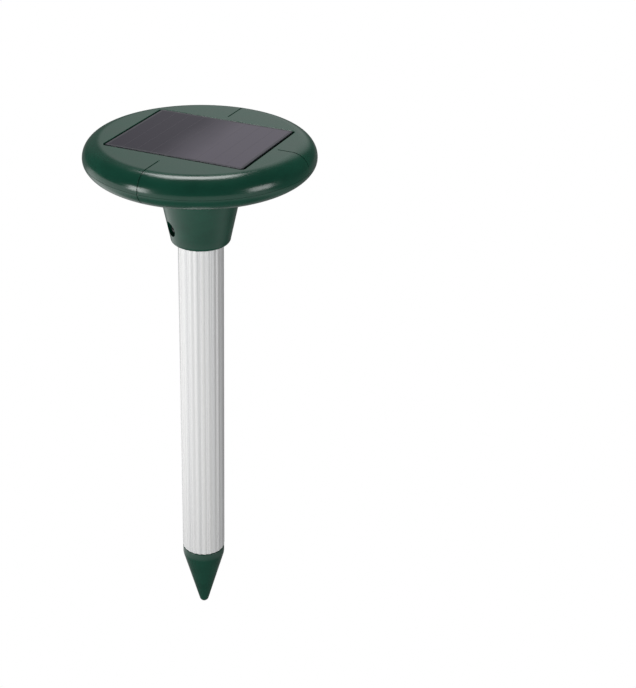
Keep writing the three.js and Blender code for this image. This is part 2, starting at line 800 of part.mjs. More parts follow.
function batteryPack() {
  const half = cellLength / 2;
  const trayBase = solidOf(box(trayLength, trayWidth, trayThickness, 0, packY, trayBottom));
  const lips = [-1, 1].map((side) =>
    solidOf(
      box(
        trayLength, trayThickness, trayLip,
        0, packY + (side * (trayWidth + trayThickness)) / 2, trayBottom,
      ),
    ),
  );
  piece("battery_tray", join(trayBase, lips), blackPlastic);

  cellPlaces.forEach((y, i) => {
    const cell = revolve(
      [
        [0, -half],
        [cellRadius - 0.4, -half],
        [cellRadius, -half + 0.4],
        [cellRadius, half - cellNub - 0.6],
        [cellRadius - 0.6, half - cellNub],
        [cellNubRadius, half - cellNub],
        [cellNubRadius, half],
        [0, half],
      ],
      24,
    );
    const turn = i === 0 ? -Math.PI / 2 : Math.PI / 2;
    piece(`battery_cell_${i + 1}`, cell.rotateY(turn).translate(0, y, cellCentre), cellSleeve);
  });

  const tabX = half + gap + tabThickness / 2;
  const tab = (name, x, y, width) =>
    piece(name, box(tabThickness, width, tabWidth, x, y, cellCentre - tabWidth / 2), nickel);
  tab("cell_link", tabX, packY, cellPitch + tabWidth);
  tab("cell_tab_pos", -tabX, cellPlaces[0], tabWidth);
  tab("cell_tab_neg", -tabX, cellPlaces[1], tabWidth);

  // The strap: a bent strip over both cells with a foot at each end.
  const inner = strapReach - strapThickness;
  const footEnd = strapReach + strapFoot;
  const footBottom = strapFootTop - strapThickness;
  const side = [
    [inner, footBottom],
    [footEnd, footBottom],
    [footEnd, strapFootTop],
    [strapReach, strapFootTop],
    [strapReach, strapTop],
  ];
  const mirrored = side.map(([x, z]) => [-x, z]).reverse();
  const outline = [
    ...side,
    ...mirrored,
    [-inner, strapTop - strapThickness],
    [inner, strapTop - strapThickness],
  ].map(([x, z]) => new THREE.Vector2(x, z));
  const strap = plate(new THREE.Shape(outline), -strapWidth / 2, strapWidth)
    .rotateX(Math.PI / 2)
    .translate(0, packY, 0);
  const holes = strapPosts.map(([x, y]) =>
    solidOf(cylinder(smallShank + gap, footBottom - 1, strapThickness + 2, x, y, 16)),
  );
  piece("battery_strap", cut(solidOf(strap), holes), blackPlastic);
  strapPosts.forEach(([x, y], i) => {
    piece(`strap_screw_${i + 1}`, smallScrew(x, y, strapFootTop), steel);
  });
}

// ---- Sounder -----------------------------------------------------------------------------------

const sounderLeadX = 7;

function sounder() {
  const caseBottom = sounderBottom + sounderCoverThickness + gap;
  const bore = sounderBore;
  const cover = ring(2.5, sounderRadius, sounderBottom, sounderCoverThickness);
  piece("sounder_cover", cover, blackPlastic);

  const can = solidOf(
    revolve(
      [
        [0, sounderTop - sounderRoof],
        [bore, sounderTop - sounderRoof],
        [bore, caseBottom],
        [sounderRadius, caseBottom],
        [sounderRadius, sounderTop],
        [0, sounderTop],
      ],
      smallSides,
    ),
  );
  const leadWay = solidOf(
    cylinder(leadDiameter / 2 + gap, sounderTop - 3, 5, sounderLeadX, 0, 16),
  );
  piece("sounder_case", can.subtract(leadWay), blackPlastic);

  const yokeTop = sounderTop - sounderRoof - leadDiameter - gap;
  const yokeBottom = yokeTop - yokeThickness;
  const magnetBottom = yokeBottom - layerGap - magnetHeight;
  const coilInner = poleRadius + gap;
  const coilOuter = coilInner + coilWall;
  const yoke = revolve(
    [
      [0, magnetBottom - 0.6],
      [poleRadius, magnetBottom - 0.6],
      [poleRadius, yokeBottom],
      [bore - gap, yokeBottom],
      [bore - gap, yokeTop],
      [0, yokeTop],
    ],
    smallSides,
  );
  piece("sounder_yoke", yoke, steel);
  piece(
    "sounder_magnet",
    ring(coilOuter + gap, bore - gap - 0.4, magnetBottom, magnetHeight),
    ferrite,
  );

  // The diaphragm is a shallow dished disc; the voice coil stands on it round the pole.
  const rimHeight = caseBottom + 1;
  const dish = diaphragmDish;
  const sheet = diaphragmSheet;
  const diaphragm = revolve(
    [
      [0, rimHeight + dish - sheet],
      [coilInner, rimHeight + dish - sheet],
      [diaphragmRadius - 1.5, rimHeight - sheet],
      [diaphragmRadius, rimHeight - sheet],
      [diaphragmRadius, rimHeight],
      [diaphragmRadius - 1.5, rimHeight],
      [coilInner, rimHeight + dish],
      [0, rimHeight + dish],
    ],
    smallSides,
  );
  piece("sounder_diaphragm", diaphragm, film);
  const coilBottom = rimHeight + dish + layerGap;
  const coilTop = yokeBottom - diaphragmTravel - 2 * gap;
  piece("voice_coil", ring(coilInner, coilOuter, coilBottom, coilTop - coilBottom), copper);

  const foams = [caseBottom + foamInset, sounderTop - foamHeight - foamInset];
  const names = ["sounder_foam_lower", "sounder_foam_upper"];
  foams.forEach((bottom, i) => {
    const band = ring(sounderRadius + gap, tubeBore - gap, bottom, foamHeight);
    piece(names[i], band, foam);
  });
}

// ---- Grommet, leads and wires ------------------------------------------------------------------

function wiring() {
  const roofTop = socketTop + socketRoof;
  const waist = wireHole - gap;
  const bore = leadDiameter / 2 + gap;
  const lip = 1.6;
  const flange = wireHole + 1.8;
  const grommet = revolve(
    closed([
      [bore, socketTop - gap / 2],
      [waist, socketTop - gap / 2],
      [waist, roofTop + gap],
      [flange, roofTop + gap],
      [flange, roofTop + gap + lip],
      [bore, roofTop + gap + lip],
    ]),
    32,
  );
  piece("lead_grommet", grommet, rubber);

  const leadEnd = plugBack + gap + 0.1;
  const rise = (share) => sounderTop + share * (socketTop - sounderTop); // up the tube
  const sounderLead = [
    [sounderLeadX, 0, sounderTop - 0.9],
    [sounderLeadX, 0, sounderTop + 6],
    [4, 1, rise(0.12)],
    [2, 3, rise(0.35)],
    [-2, 2, rise(0.58)],
    [-1, -2, rise(0.81)],
    [0, 0, socketTop - 12],
    [0, 0, socketTop - 4],
    [0, 0, roofTop + 2],
    [0, 0, roofTop + 8],
    [connectorX.sounder, 1, floor + 6],
    [connectorX.sounder, 0, plugHeight - 3],
    [connectorX.sounder, -2.5, plugHeight - 0.4],
    [connectorX.sounder, leadEnd, plugHeight],
  ];
  piece("sounder_lead", wire(sounderLead, leadDiameter, 44), blackWire);

  const tabOut = -(cellLength / 2 + 2 * gap + tabThickness + wireDiameter / 2 + 0.1);
  const pitch = 1.2;
  const batteryPos = [
    [tabOut, cellPlaces[0], cellCentre + 1],
    [tabOut, cellPlaces[0] - 5, cellCentre + 1],
    [tabOut + 1, cellPlaces[0] - 11, cellCentre + 2],
    [connectorX.battery - pitch - 1, 1, plugHeight + 0.5],
    [connectorX.battery - pitch, -2, plugHeight],
    [connectorX.battery - pitch, leadEnd, plugHeight],
  ];
  piece("battery_wire_pos", wire(batteryPos, wireDiameter), redWire);
  const farX = -(strapReach + strapFoot + 2);
  const batteryNeg = [
    [tabOut, cellPlaces[1], cellCentre + 1],
    [tabOut - 1, cellPlaces[1] + 5, cellCentre + 1],
    [farX + 2, cellPlaces[1] + 4, cellCentre],
    [farX, packY, cellCentre - 1],
    [farX, packY - 14, cellCentre],
    [connectorX.battery - 9, 0, plugHeight - 2.4],
    [connectorX.battery + pitch - 2.4, -1.5, plugHeight - 2.4],
    [connectorX.battery + pitch, -3, plugHeight - 1],
    [connectorX.battery + pitch, leadEnd, plugHeight],
  ];
  piece("battery_wire_neg", wire(batteryNeg, wireDiameter, 26), blackWire);

  const padHeight = boardTop + wireDiameter / 2 + gap;
  const wires = [
    ["panel_wire_pos", -wireSpread, redWire],
    ["panel_wire_neg", wireSpread, blackWire],
  ];
  for (const [name, offset, look] of wires) {
    const x = panelWireX + offset;
    const route = [
      [x, panelWireY, wellBottom + gasketThickness - 0.2],
      [x, panelWireY, roof - 2],
      [x, panelWireY + 0.6, roof - 4.5],
      [x, panelWireY - 2, padHeight + 2],
      [x, boardEdgeY - 1, padHeight],
      [x, boardEdgeY - 5, padHeight],
    ];
    piece(name, wire(route, wireDiameter, 18), look);
  }
}

// ---- Assembly ----------------------------------------------------------------------------------

piece("top_cover", topCover(), greenPlastic);
piece("bottom_cover", bottomCover(), greenPlastic);
const sealRing = ring(
  innerRadius + layerGap, rebateRadius - 2 * layerGap, sealBottom, sealHeight, roundSides,
);
piece("shell_seal", sealRing, rubber);

caseScrewPlaces.forEach(([x, y], i) => {
  const screw = screwShape(screwShank, caseScrewHeadRadius, screwHeadHeight, caseScrewLength);
  piece(`case_screw_${i + 1}`, screw.translate(x, y, caseScrewSeat - screwHeadHeight), steel);
});

[0, 180].forEach((turn, i) => {
  const screw = screwShape(screwShank, neckScrewHeadRadius, screwHeadHeight, neckScrewLength);
  const headEnd = socketRadius + recessFloor + gap + screwHeadHeight;
  screw
    .rotateY(-Math.PI / 2)
    .translate(headEnd, 0, neckBottom + neckScrewHeight)
    .rotateZ(radians(neckScrewAngle + turn));
  piece(`neck_screw_${i + 1}`, screw, steel);
});

piece("stake_tube", stakeTube(), aluminium);
piece("tip_cone", tipCone(), greenPlastic);
solarPanel();
circuitBoard();
powerButton();
batteryPack();
sounder();
wiring();

export default part;
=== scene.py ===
"""A solar stake that repels burrowing pests with sound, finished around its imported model.

The stake stands upright with its point at the origin: green moulded point, fluted aluminium
tube, green neck and head, and a solar panel on top. Metres, +Z up, panel's long side along X.
"""

import math

import bpy
import numpy as np
from mathutils import Matrix, Vector


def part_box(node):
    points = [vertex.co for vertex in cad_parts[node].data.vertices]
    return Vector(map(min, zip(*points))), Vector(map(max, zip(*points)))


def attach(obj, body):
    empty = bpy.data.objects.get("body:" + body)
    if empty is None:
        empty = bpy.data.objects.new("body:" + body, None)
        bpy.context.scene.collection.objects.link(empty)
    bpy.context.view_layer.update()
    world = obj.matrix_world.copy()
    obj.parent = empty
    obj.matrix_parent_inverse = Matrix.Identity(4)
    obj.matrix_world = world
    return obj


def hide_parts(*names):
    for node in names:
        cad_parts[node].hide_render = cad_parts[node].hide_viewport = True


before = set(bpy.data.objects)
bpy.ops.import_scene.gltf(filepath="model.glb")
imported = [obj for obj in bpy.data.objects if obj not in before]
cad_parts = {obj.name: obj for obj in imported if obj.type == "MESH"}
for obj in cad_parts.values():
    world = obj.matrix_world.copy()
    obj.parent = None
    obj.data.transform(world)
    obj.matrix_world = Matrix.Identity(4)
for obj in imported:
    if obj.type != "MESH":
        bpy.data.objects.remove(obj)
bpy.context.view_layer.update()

# ---- The view ------------------------------------------------------------------------------------
# A camera on a tall tripod, a little to the right of the stake's front, looks down on the head.
# A lit white table lies well below the point, soft boxes hang behind, left and right, and two
# wide fills lift the shadows.

mm = 0.001
head_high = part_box("top_cover")[1]
head_radius = head_high.x
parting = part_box("top_cover")[0].z
widest = parting + 1 * mm  # height of the head's widest plane

camera_azimuth = math.radians(27.6)  # from the front, towards +X
camera_distance = 0.9354  # along the ground from the stake's axis
camera_rise = 0.349  # above the widest plane
camera_pitch = math.radians(27.77)
camera_yaw = math.radians(2.14)  # turned right of the axis
camera_roll = math.radians(0.45)


def heading(azimuth, elevation=0.0):
    """Unit vector at an azimuth from the front (-Y) towards +X, and at an elevation, degrees."""
    azimuth, elevation = math.radians(azimuth), math.radians(elevation)
    flat = math.cos(elevation)
    return Vector((math.sin(azimuth) * flat, -math.cos(azimuth) * flat, math.sin(elevation)))


camera_data = bpy.data.cameras.new("tripod_camera")
camera_data.lens = 77.12
camera_data.sensor_width = 36
camera_data.shift_x = 0.098
camera = bpy.data.objects.new("tripod_camera", camera_data)
bpy.context.scene.collection.objects.link(camera)
bpy.context.scene.camera = camera
aside = heading(math.degrees(camera_azimuth))
camera.location = aside * camera_distance + Vector((0, 0, widest + camera_rise))
look = -heading(math.degrees(camera_azimuth - camera_yaw), math.degrees(camera_pitch))
roll = Matrix.Rotation(camera_roll, 4, "Z")
camera.rotation_euler = (look.to_track_quat("-Z", "Y").to_matrix().to_4x4() @ roll).to_euler()
bpy.context.scene.view_settings.view_transform = "Standard"


def soft_box(name, azimuth, elevation, distance, width, height, radiance, mirrored=True):
    """A rectangular light that faces the head, placed by degrees and metres. Its power is its
    radiance times pi times its area. One that isn't mirrored only fills shadows, and glossy
    surfaces don't show it."""
    light = bpy.data.lights.new(name, "AREA")
    light.shape = "RECTANGLE"
    light.size = width
    light.size_y = height
    light.energy = radiance * math.pi * width * height
    lamp = bpy.data.objects.new(name, light)
    bpy.context.scene.collection.objects.link(lamp)
    away = heading(azimuth, elevation)
    lamp.location = Vector((0, 0, widest)) + away * distance
    lamp.rotation_euler = away.to_track_quat("Z", "Y").to_euler()
    lamp.visible_camera = False
    lamp.visible_glossy = mirrored


soft_box("light_above", -146, 66, 1.1, 0.56, 0.42, 8.5)
soft_box("light_left", -31, 2, 1.0, 0.32, 0.36, 9.0)
soft_box("light_right", 84, 7, 1.0, 0.40, 0.36, 5.5)
soft_box("fill_above", -150, 80, 1.2, 1.0, 1.0, 1.3, mirrored=False)
soft_box("fill_below", 20, -50, 1.1, 1.0, 1.0, 0.9, mirrored=False)

floor_drop = 0.6
floor_size = 24.0


def node(tree, kind, inputs=None, **settings):
    """A shader node with its settings, and its inputs set or linked by name or number."""
    made = tree.nodes.new("ShaderNode" + kind)
    for name, value in settings.items():
        setattr(made, name, value)
    for name, value in (inputs or {}).items():
        if isinstance(value, bpy.types.NodeSocket):
            tree.links.new(value, made.inputs[name])
        else:
            made.inputs[name].default_value = value
    return made


def number_between(tree, factor, low, high, start=0.3, end=0.7):
    """A number that goes smoothly from low to high as the factor goes from start to end."""
    inputs = {"Value": factor, 1: start, 2: end, 3: low, 4: high}
    return node(tree, "MapRange", inputs, interpolation_type="SMOOTHSTEP").outputs[0]


def along(tree, place, direction):
    """How far a place lies along a direction."""
    inputs = {0: place, 1: direction}
    return node(tree, "VectorMath", inputs, operation="DOT_PRODUCT").outputs["Value"]


def arithmetic(tree, operation, first, second=0.0):
    """Two numbers added, multiplied and so on, or one number's fraction or size."""
    return node(tree, "Math", {0: first, 1: second}, operation=operation).outputs[0]


def white_to_camera(tree, strength):
    """A light's strength for every ray but the camera's own, which meets plain white."""
    seen = node(tree, "LightPath").outputs["Is Camera Ray"]
    return node(tree, "Mix", {0: seen, 2: strength, 3: 1.0}, data_type="FLOAT").outputs[0]


def lit_surroundings():
    """World light: dim, with one pale wall far behind the stake, and white to the camera."""
    world = bpy.data.worlds.new("studio")
    bpy.context.scene.world = world
    world.use_nodes = True
    tree = world.node_tree
    direction = node(tree, "TexCoord").outputs["Generated"]
    wall = number_between(tree, along(tree, direction, heading(-163, 22)), 0.0, 0.48, 0.92, 1.0)
    glow = number_between(tree, along(tree, direction, heading(-150, 25)), 0.07, 0.16, 0.75, 0.98)
    shown = white_to_camera(tree, arithmetic(tree, "ADD", wall, glow))
    tree.links.new(shown, tree.nodes["Background"].inputs["Strength"])
    tree.nodes["Background"].inputs["Color"].default_value = (1, 1, 1, 1)


def lit_table():
    """A white table lit from inside: dim round the stake and behind it, and brighter further out
    and towards the left."""
    mesh = bpy.data.meshes.new("floor")
    corners = floor_size / 2 * np.array([[-1, -1, 0], [1, -1, 0], [1, 1, 0], [-1, 1, 0]])
    mesh.from_pydata((corners - [0, 0, floor_drop]).tolist(), [], [[0, 1, 2, 3]])
    table = bpy.data.objects.new("floor", mesh)
    bpy.context.scene.collection.objects.link(table)
    material = bpy.data.materials.new("lit_white_table")
    material.use_nodes = True
    tree = material.node_tree
    tree.nodes.clear()
    place = node(tree, "TexCoord").outputs["Object"]
    plan = node(tree, "VectorMath", {0: place, 1: (1, 1, 0)}, operation="MULTIPLY").outputs[0]
    distance = node(tree, "VectorMath", {0: plan}, operation="LENGTH").outputs["Value"]
    ring = number_between(tree, distance, 0.16, 1.25, 0.45, 1.3)
    side = number_between(tree, along(tree, place, heading(-110)), 0.56, 0.92, -1.4, 0.8)
    behind = number_between(tree, along(tree, place, heading(175)), 1.0, 0.15, 0.2, 1.2)
    glow = arithmetic(tree, "MULTIPLY", arithmetic(tree, "MULTIPLY", ring, side), behind)
    shown = white_to_camera(tree, glow)
    lamp = node(tree, "Emission", {"Color": (1, 1, 1, 1), "Strength": shown})
    node(tree, "OutputMaterial", {"Surface": lamp.outputs[0]})
    mesh.materials.append(material)


lit_surroundings()
lit_table()

# ---- Upper cover ---------------------------------------------------------------------------------
# A glossy green injection moulding: flat top with a well for the panel, rounded rim, and three
# narrow grooves from near the panel over the rim. Four screws from below pull it onto the lower
# cover.

crown_run = 12.7 * mm
crown_height = head_high.z - widest
belly_run = 28 * mm
belly_height = 14.6 * mm
wall = 2.4 * mm
chamfer = 0.1 * mm
groove_depth = 0.5 * mm
well_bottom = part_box("panel_gasket")[0].z - 0.1 * mm
panel_low, panel_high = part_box("panel_face")
panel_corner = 2 * mm
panel_half = np.array([panel_high.x, panel_high.y])
well_half = panel_half + [1.4 * mm, 0.5 * mm]
well_corner = panel_corner + 0.5 * mm
edge_round = 0.6 * mm  # rounding of the well's edge
pan_floor = 2 * mm
tongue_wall = 0.85 * mm
seal_room = 2.9 * mm  # height of the rebate that holds the seal and the lower cover's tongue
fit = 0.3 * mm


def rectangle_radius(angle, half, corner):
    """Distance from the centre to a rounded rectangle in each direction: to its straight sides,
    or where a corner's zone is hit, to the circle about that corner's own centre."""
    across, upward = np.abs(np.cos(angle)), np.abs(np.sin(angle))
    distance = np.minimum(half[0] / np.maximum(across, 1e-9), half[1] / np.maximum(upward, 1e-9))
    centre = half - corner
    turned_out = across * centre[0] + upward * centre[1]
    reach = turned_out**2 - centre @ centre + corner**2
    rounded = turned_out + np.sqrt(np.maximum(reach, 0))
    in_corner = (distance * across > centre[0]) & (distance * upward > centre[1])
    return np.where(in_corner, rounded, distance)


groove_steps = [-1.2, -0.75, -0.5, -0.38, -0.26, -0.14, 0, 0.14, 0.26, 0.38, 0.5, 0.75, 1.2]
groove_offsets = np.array(groove_steps) * mm
groove_profile = np.clip((0.5 * mm - np.abs(groove_offsets)) / (0.26 * mm), 0, 1)
groove_profile = groove_profile**2 * (3 - 2 * groove_profile)
groove_lines = [  # direction from the axis, sideways shift anticlockwise, start and share of depth
    (-math.pi / 2, -3.8 * mm, panel_high.y + 10 * mm, 1.0),
    (0.0, 3 * mm, panel_high.x + 5 * mm, 1.0),
    (math.pi / 2, 2.2 * mm, panel_high.y + 7 * mm, 1.0),
    (math.pi, 0.0, panel_high.x, 0.0),  # the left has no groove, only the same columns
]


def groove_angles(axis, shift, radius_at):
    """Angles on one ring at which the distance sideways from a groove's line is each offset.
    The angle is the axis's plus the arc sine of offset over radius, repeated until it settles."""
    angle = np.full_like(groove_offsets, axis)
    for _ in range(6):
        angle = axis + np.arcsin((groove_offsets + shift) / radius_at(angle))
    return angle


def corner_shares():
    """Places between two grooves, as shares of the way, crowded about the well's corner."""
    centre = well_half - well_corner
    middle = math.atan2(centre[1], centre[0])
    spread = 1.25 * well_corner / np.hypot(*well_half)
    shares = []
    for index, (axis, shift, *_) in enumerate(groove_lines):
        here = groove_angles(axis, shift, lambda a: rectangle_radius(a, well_half, well_corner))
        after = groove_lines[(index + 1) % 4][:2]
        there = groove_angles(*after, lambda a: rectangle_radius(a, well_half, well_corner))
        turn = (there[0] - here[-1]) % (2 * math.pi)
        toward = middle if index % 2 else math.pi / 2 - middle
        share = (axis + toward - here[-1]) / turn
        width = spread / turn
        shares.append(
            np.concatenate([
                np.linspace(0, share - width, 26)[1:],
                np.linspace(share - width, share + width, 17)[1:],
                np.linspace(share + width, 1, 26)[1:-1],
            ])
        )
    return shares


between_grooves = corner_shares()


def ring_angles(radius_at):
    """The angle of every column of the head's grid on one ring, once round anticlockwise."""
    bands = [groove_angles(axis, shift, radius_at) for axis, shift, *_ in groove_lines]
    parts = []
    for index, band in enumerate(bands):
        turn = (bands[(index + 1) % 4][0] - band[-1]) % (2 * math.pi)
        parts += [band, band[-1] + turn * between_grooves[index]]
    return np.concatenate(parts)


def by_column(at_groove, elsewhere):
    """One value for every column: a row of values at each groove, and one value elsewhere."""
    return np.concatenate([
        part
        for line, shares in zip(groove_lines, between_grooves)
        for part in (at_groove(line), np.full_like(shares, elsewhere))
    ])


groove_mask = by_column(lambda line: groove_profile * line[3], 0.0)
groove_start = by_column(lambda line: np.full_like(groove_profile, line[2]), 1.0)
groove_run_in = 0.8 * mm  # length over which a groove reaches its depth


def solid(name, rows, close_rows=False):
    """A closed mesh from a grid of points (rows, columns, 3), closed round its columns.
    A row whose points all coincide becomes one pole point. With close_rows the last row joins
    the first. Faces are turned outwards by the sign of the volume they enclose."""
    rows = np.asarray(rows, float)
    count, columns = rows.shape[:2]
    index = np.arange(count * columns).reshape(count, columns)
    points = rows.reshape(-1, 3)
    if close_rows:
        index = np.vstack([index, index[:1]])
    else:
        index[0] = index[0, 0]
        index[-1] = index[-1, 0]
    below, above = index[:-1], index[1:]
    next_below, next_above = np.roll(below, -1, axis=1), np.roll(above, -1, axis=1)
    quads = np.stack([below, next_below, next_above, above], -1).reshape(-1, 4)
    used, renumbered = np.unique(quads, return_inverse=True)
    quads = renumbered.reshape(quads.shape)
    points = points[used]
    first, second, third, fourth = (points[quads[:, k]] for k in range(4))
    volume = np.einsum("ij,ij->", first, np.cross(second, third))
    volume += np.einsum("ij,ij->", first, np.cross(third, fourth))
    if volume < 0:
        quads = quads[:, ::-1]
    pole_low = quads[:, 0] == quads[:, 1]
    pole_high = quads[:, 2] == quads[:, 3]
    faces = quads[~(pole_low | pole_high)].tolist()
    faces += quads[pole_low][:, 1:].tolist() + quads[pole_high][:, :3].tolist()
    mesh = bpy.data.meshes.new(name)
    mesh.from_pydata(points.tolist(), [], faces)
    made = bpy.data.objects.new(name, mesh)
    bpy.context.scene.collection.objects.link(made)
    return made


def smooth(piece, degrees=32):
    """Smooth shading, with edges sharper than an angle kept crisp."""
    piece.data.shade_smooth()
    piece.data.set_sharp_from_angle(angle=math.radians(degrees))
    return piece


def boolean(piece, operation, *tools):
    """Cuts the tools from the piece, or fuses them to it, and removes them."""
    for tool in tools:
        change = piece.modifiers.new(operation.lower(), "BOOLEAN")
        change.operation = operation
        change.solver = "MANIFOLD"
        change.object = tool
    bpy.context.view_layer.update()
    graph = bpy.context.evaluated_depsgraph_get()
    result = bpy.data.meshes.new_from_object(piece.evaluated_get(graph))
    piece.modifiers.clear()
    piece.data = result
    for tool in tools:
        bpy.data.objects.remove(tool)
    return piece


def turned(profile, columns, centre=(0, 0), name="turned"):
    """A profile of (radius, height) points swept once round a vertical axis."""
    radius, height = np.asarray(profile, float).T
    angle = np.arange(columns) * 2 * math.pi / columns
    x = centre[0] + radius[:, None] * np.cos(angle)
    y = centre[1] + radius[:, None] * np.sin(angle)
    z = np.broadcast_to(height[:, None], x.shape)
    on_axis = radius[0] < 1e-9 and radius[-1] < 1e-9
    return solid(name, np.stack([x, y, z], -1), close_rows=not on_axis)


def peg(centre, radius, low, high, columns):
    """A plain upright cylinder, used as a boss, a post or a drill."""
    return turned([(0, low), (radius, low), (radius, high), (0, high)], columns, centre, "peg")


def ellipse(centre, height, run, rise, start, end, steps):
    """Points (radius, height) along an elliptic arc, with angles in degrees."""
    angle = np.radians(np.linspace(start, end, steps + 1))
    return np.stack([centre + run * np.cos(angle), height + rise * np.sin(angle)], -1)


def head_ring(radius_at, height, depth=0.0, lean=(0.0, 1.0)):
    """One ring of the head's skin. A groove pushes its points in by the given depth, against the
    skin's outward direction lean = (radial, upward), from where the groove starts outwards."""
    angle = ring_angles(radius_at)
    radius = radius_at(angle)
    started = np.clip((radius - groove_start) / groove_run_in, 0, 1)
    push = depth * groove_mask * started
    radius = radius - push * lean[0]
    return np.stack(
        [radius * np.cos(angle), radius * np.sin(angle), height - push * lean[1]], -1,
    )


def circle_ring(radius, height, depth=0.0, lean=(0.0, 1.0)):
    """A round ring; below the flat underside's radius the columns keep their angles."""
    held = max(radius, head_radius - belly_run)
    ring = head_ring(lambda a: np.full_like(a, held), height, depth, lean)
    return ring * [radius / held, radius / held, 1]


def lean_of(profile):
    """Outward direction at each point of a profile that runs from low to high on the outside."""
    step = np.gradient(np.asarray(profile, float), axis=0)
    return np.stack([step[:, 1], -step[:, 0]], -1) / np.linalg.norm(step, axis=1)[:, None]


def rectangle_ring(grown, height, share=1.0):
    """A ring of the well's outline grown outwards, or scaled by a share towards the middle."""
    size = well_half * share + grown
    rounding = well_corner * share + max(grown, 0)
    return head_ring(lambda a: rectangle_radius(a, size, rounding), height)


def blended_ring(share, height, grown, round_radius, depth=0.0):
    """A ring part of the way from a circle (share 0) to the well's outline (share 1)."""
    size = well_half + grown
    rounding = well_corner + grown

    def radius_at(angle):
        """The blend of both distances in one direction."""
        return (1 - share) * round_radius + share * rectangle_radius(angle, size, rounding)

    return head_ring(radius_at, height, depth)


flat_radius = head_radius - crown_run
belly_radius = head_radius - belly_run
rim_at_parting = belly_radius + belly_run * math.sqrt(1 - ((widest - parting) / belly_height) ** 2)
inner_radius = head_radius - wall
rebate_radius = inner_radius + tongue_wall + fit


def upper_cover_rows():
    """Rings from the parting up the rim, over the flat, down into the well to its middle, then
    from the middle of the pan's underside back along the inside to the parting."""
    top = head_high.z
    rim = np.vstack([
        [(rim_at_parting - chamfer, parting), (rim_at_parting, parting + chamfer)],
        ellipse(flat_radius, widest, crown_run, crown_height, 0, 90, 30),
    ])
    rows = [
        circle_ring(r, z, groove_depth, lean) for (r, z), lean in zip(rim, lean_of(rim))
    ]
    rows.append(circle_ring(flat_radius - 0.3 * mm, top, groove_depth))
    grown = edge_round + 0.25 * mm
    rows += [  # crowded where the grooves start
        blended_ring(share, top, grown, flat_radius - 0.3 * mm, groove_depth)
        for share in (0.35, 0.55, 0.62, 0.66, 0.7, 0.74, 0.78, 0.82, 0.86, 0.92, 1.0)
    ]
    rows += [
        rectangle_ring(edge_round * (1 - math.sin(turn)), top - edge_round * (1 - math.cos(turn)))
        for turn in np.radians([0, 22, 45, 68, 90])
    ]
    rows += [rectangle_ring(0, top - edge_round - mm)]
    rows += [rectangle_ring(0, well_bottom), rectangle_ring(0, well_bottom, share=0.5)]
    rows += [np.broadcast_to([0, 0, well_bottom], rows[0].shape)]
    under = well_bottom - pan_floor
    ceiling = top - wall
    rows += [np.broadcast_to([0, 0, under], rows[0].shape)]
    rows += [rectangle_ring(0, under, share=0.5), rectangle_ring(wall, under)]
    rows += [rectangle_ring(wall, ceiling)]
    rows += [blended_ring(0.5, ceiling, wall, flat_radius), circle_ring(flat_radius, ceiling)]
    inside = np.vstack([
        ellipse(flat_radius, widest, crown_run - wall, crown_height - wall, 90, 0, 12)[1:],
        [(inner_radius, parting + seal_room), (rebate_radius, parting + seal_room)],
        [(rebate_radius, parting)],
    ])
    rows += [circle_ring(r, z) for r, z in inside]
    return rows


def upper_cover():
    """The ring list starts and ends at the parting, so it is turned to start at the well's pole
    and end at the pan's, which closes it as one skin."""
    rows = upper_cover_rows()
    pole = next(i for i, row in enumerate(rows) if np.ptp(row[:, 0]) == 0)
    around = rows[pole::-1] + rows[:pole:-1]
    return solid("cover_upper", np.stack(around))


def plan_centre(name):
    """A node's middle in plan."""
    low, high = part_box(name)
    return (low.x + high.x) / 2, (low.y + high.y) / 2


def plan_half(name):
    """Half of a node's length and width in plan."""
    low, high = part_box(name)
    return (high.x - low.x) / 2, (high.y - low.y) / 2


upper = upper_cover()
case_screws = ["case_screw_1", "case_screw_2", "case_screw_3", "case_screw_4"]
screw_places = [plan_centre(name) for name in case_screws]
boss_radius = 5 * mm
pilot_radius = 1.8 * mm
wire_centre = (np.array(plan_centre("panel_wire_pos")) + plan_centre("panel_wire_neg")) / 2
wire_hole = 2.72 * mm
boolean(upper, "UNION", *[
    peg(place, boss_radius, parting, head_high.z - wall / 2, 32) for place in screw_places
])
boolean(
    upper, "DIFFERENCE",
    *[peg(spot, pilot_radius, parting - mm, head_high.z - wall - mm, 24) for spot in screw_places],
    peg(wire_centre, wire_hole, well_bottom - pan_floor - mm, well_bottom + mm, 32),
)
smooth(upper)


def new_material(name, colour, roughness, metallic=0.0, **sockets):
    """A material with one principled shader. Numbers and colours that are the same all over the
    surface are set on its sockets, and patterns start from the object's own coordinates."""
    material = bpy.data.materials.new(name)
    material.use_nodes = True
    shader = material.node_tree.nodes["Principled BSDF"]
    shader.inputs["Base Color"].default_value = (*colour, 1)
    shader.inputs["Roughness"].default_value = roughness
    shader.inputs["Metallic"].default_value = metallic
    for socket, value in sockets.items():
        shader.inputs[socket.replace("_", " ")].default_value = value
    place = node(material.node_tree, "TexCoord").outputs["Object"]
    return material, material.node_tree, shader, place


def grain(tree, place, size, detail, stretch=(1, 1, 1)):
    """Noise from 0 to 1 with features of a given size in metres, drawn out along an axis."""
    scale = [1 / (size * s) for s in stretch]
    moved = node(tree, "Mapping", {"Vector": place, "Scale": scale})
    inputs = {"Vector": moved.outputs[0], "Scale": 1.0, "Detail": detail, "Roughness": 0.5}
    return node(tree, "TexNoise", inputs).outputs["Fac"]


def painted(tree, share, below, above):
    """One colour laid over another by a share from 0 to 1."""
    return node(tree, "Mix", {0: share, 6: below, 7: above}, data_type="RGBA").outputs[2]


def shade_between(tree, factor, low, high, start=0.3, end=0.7):
    """A colour that goes from low to high as the factor goes from start to end."""
    share = node(tree, "MapRange", {"Value": factor, 1: start, 2: end}).outputs[0]
    return painted(tree, share, (*low, 1), (*high, 1))


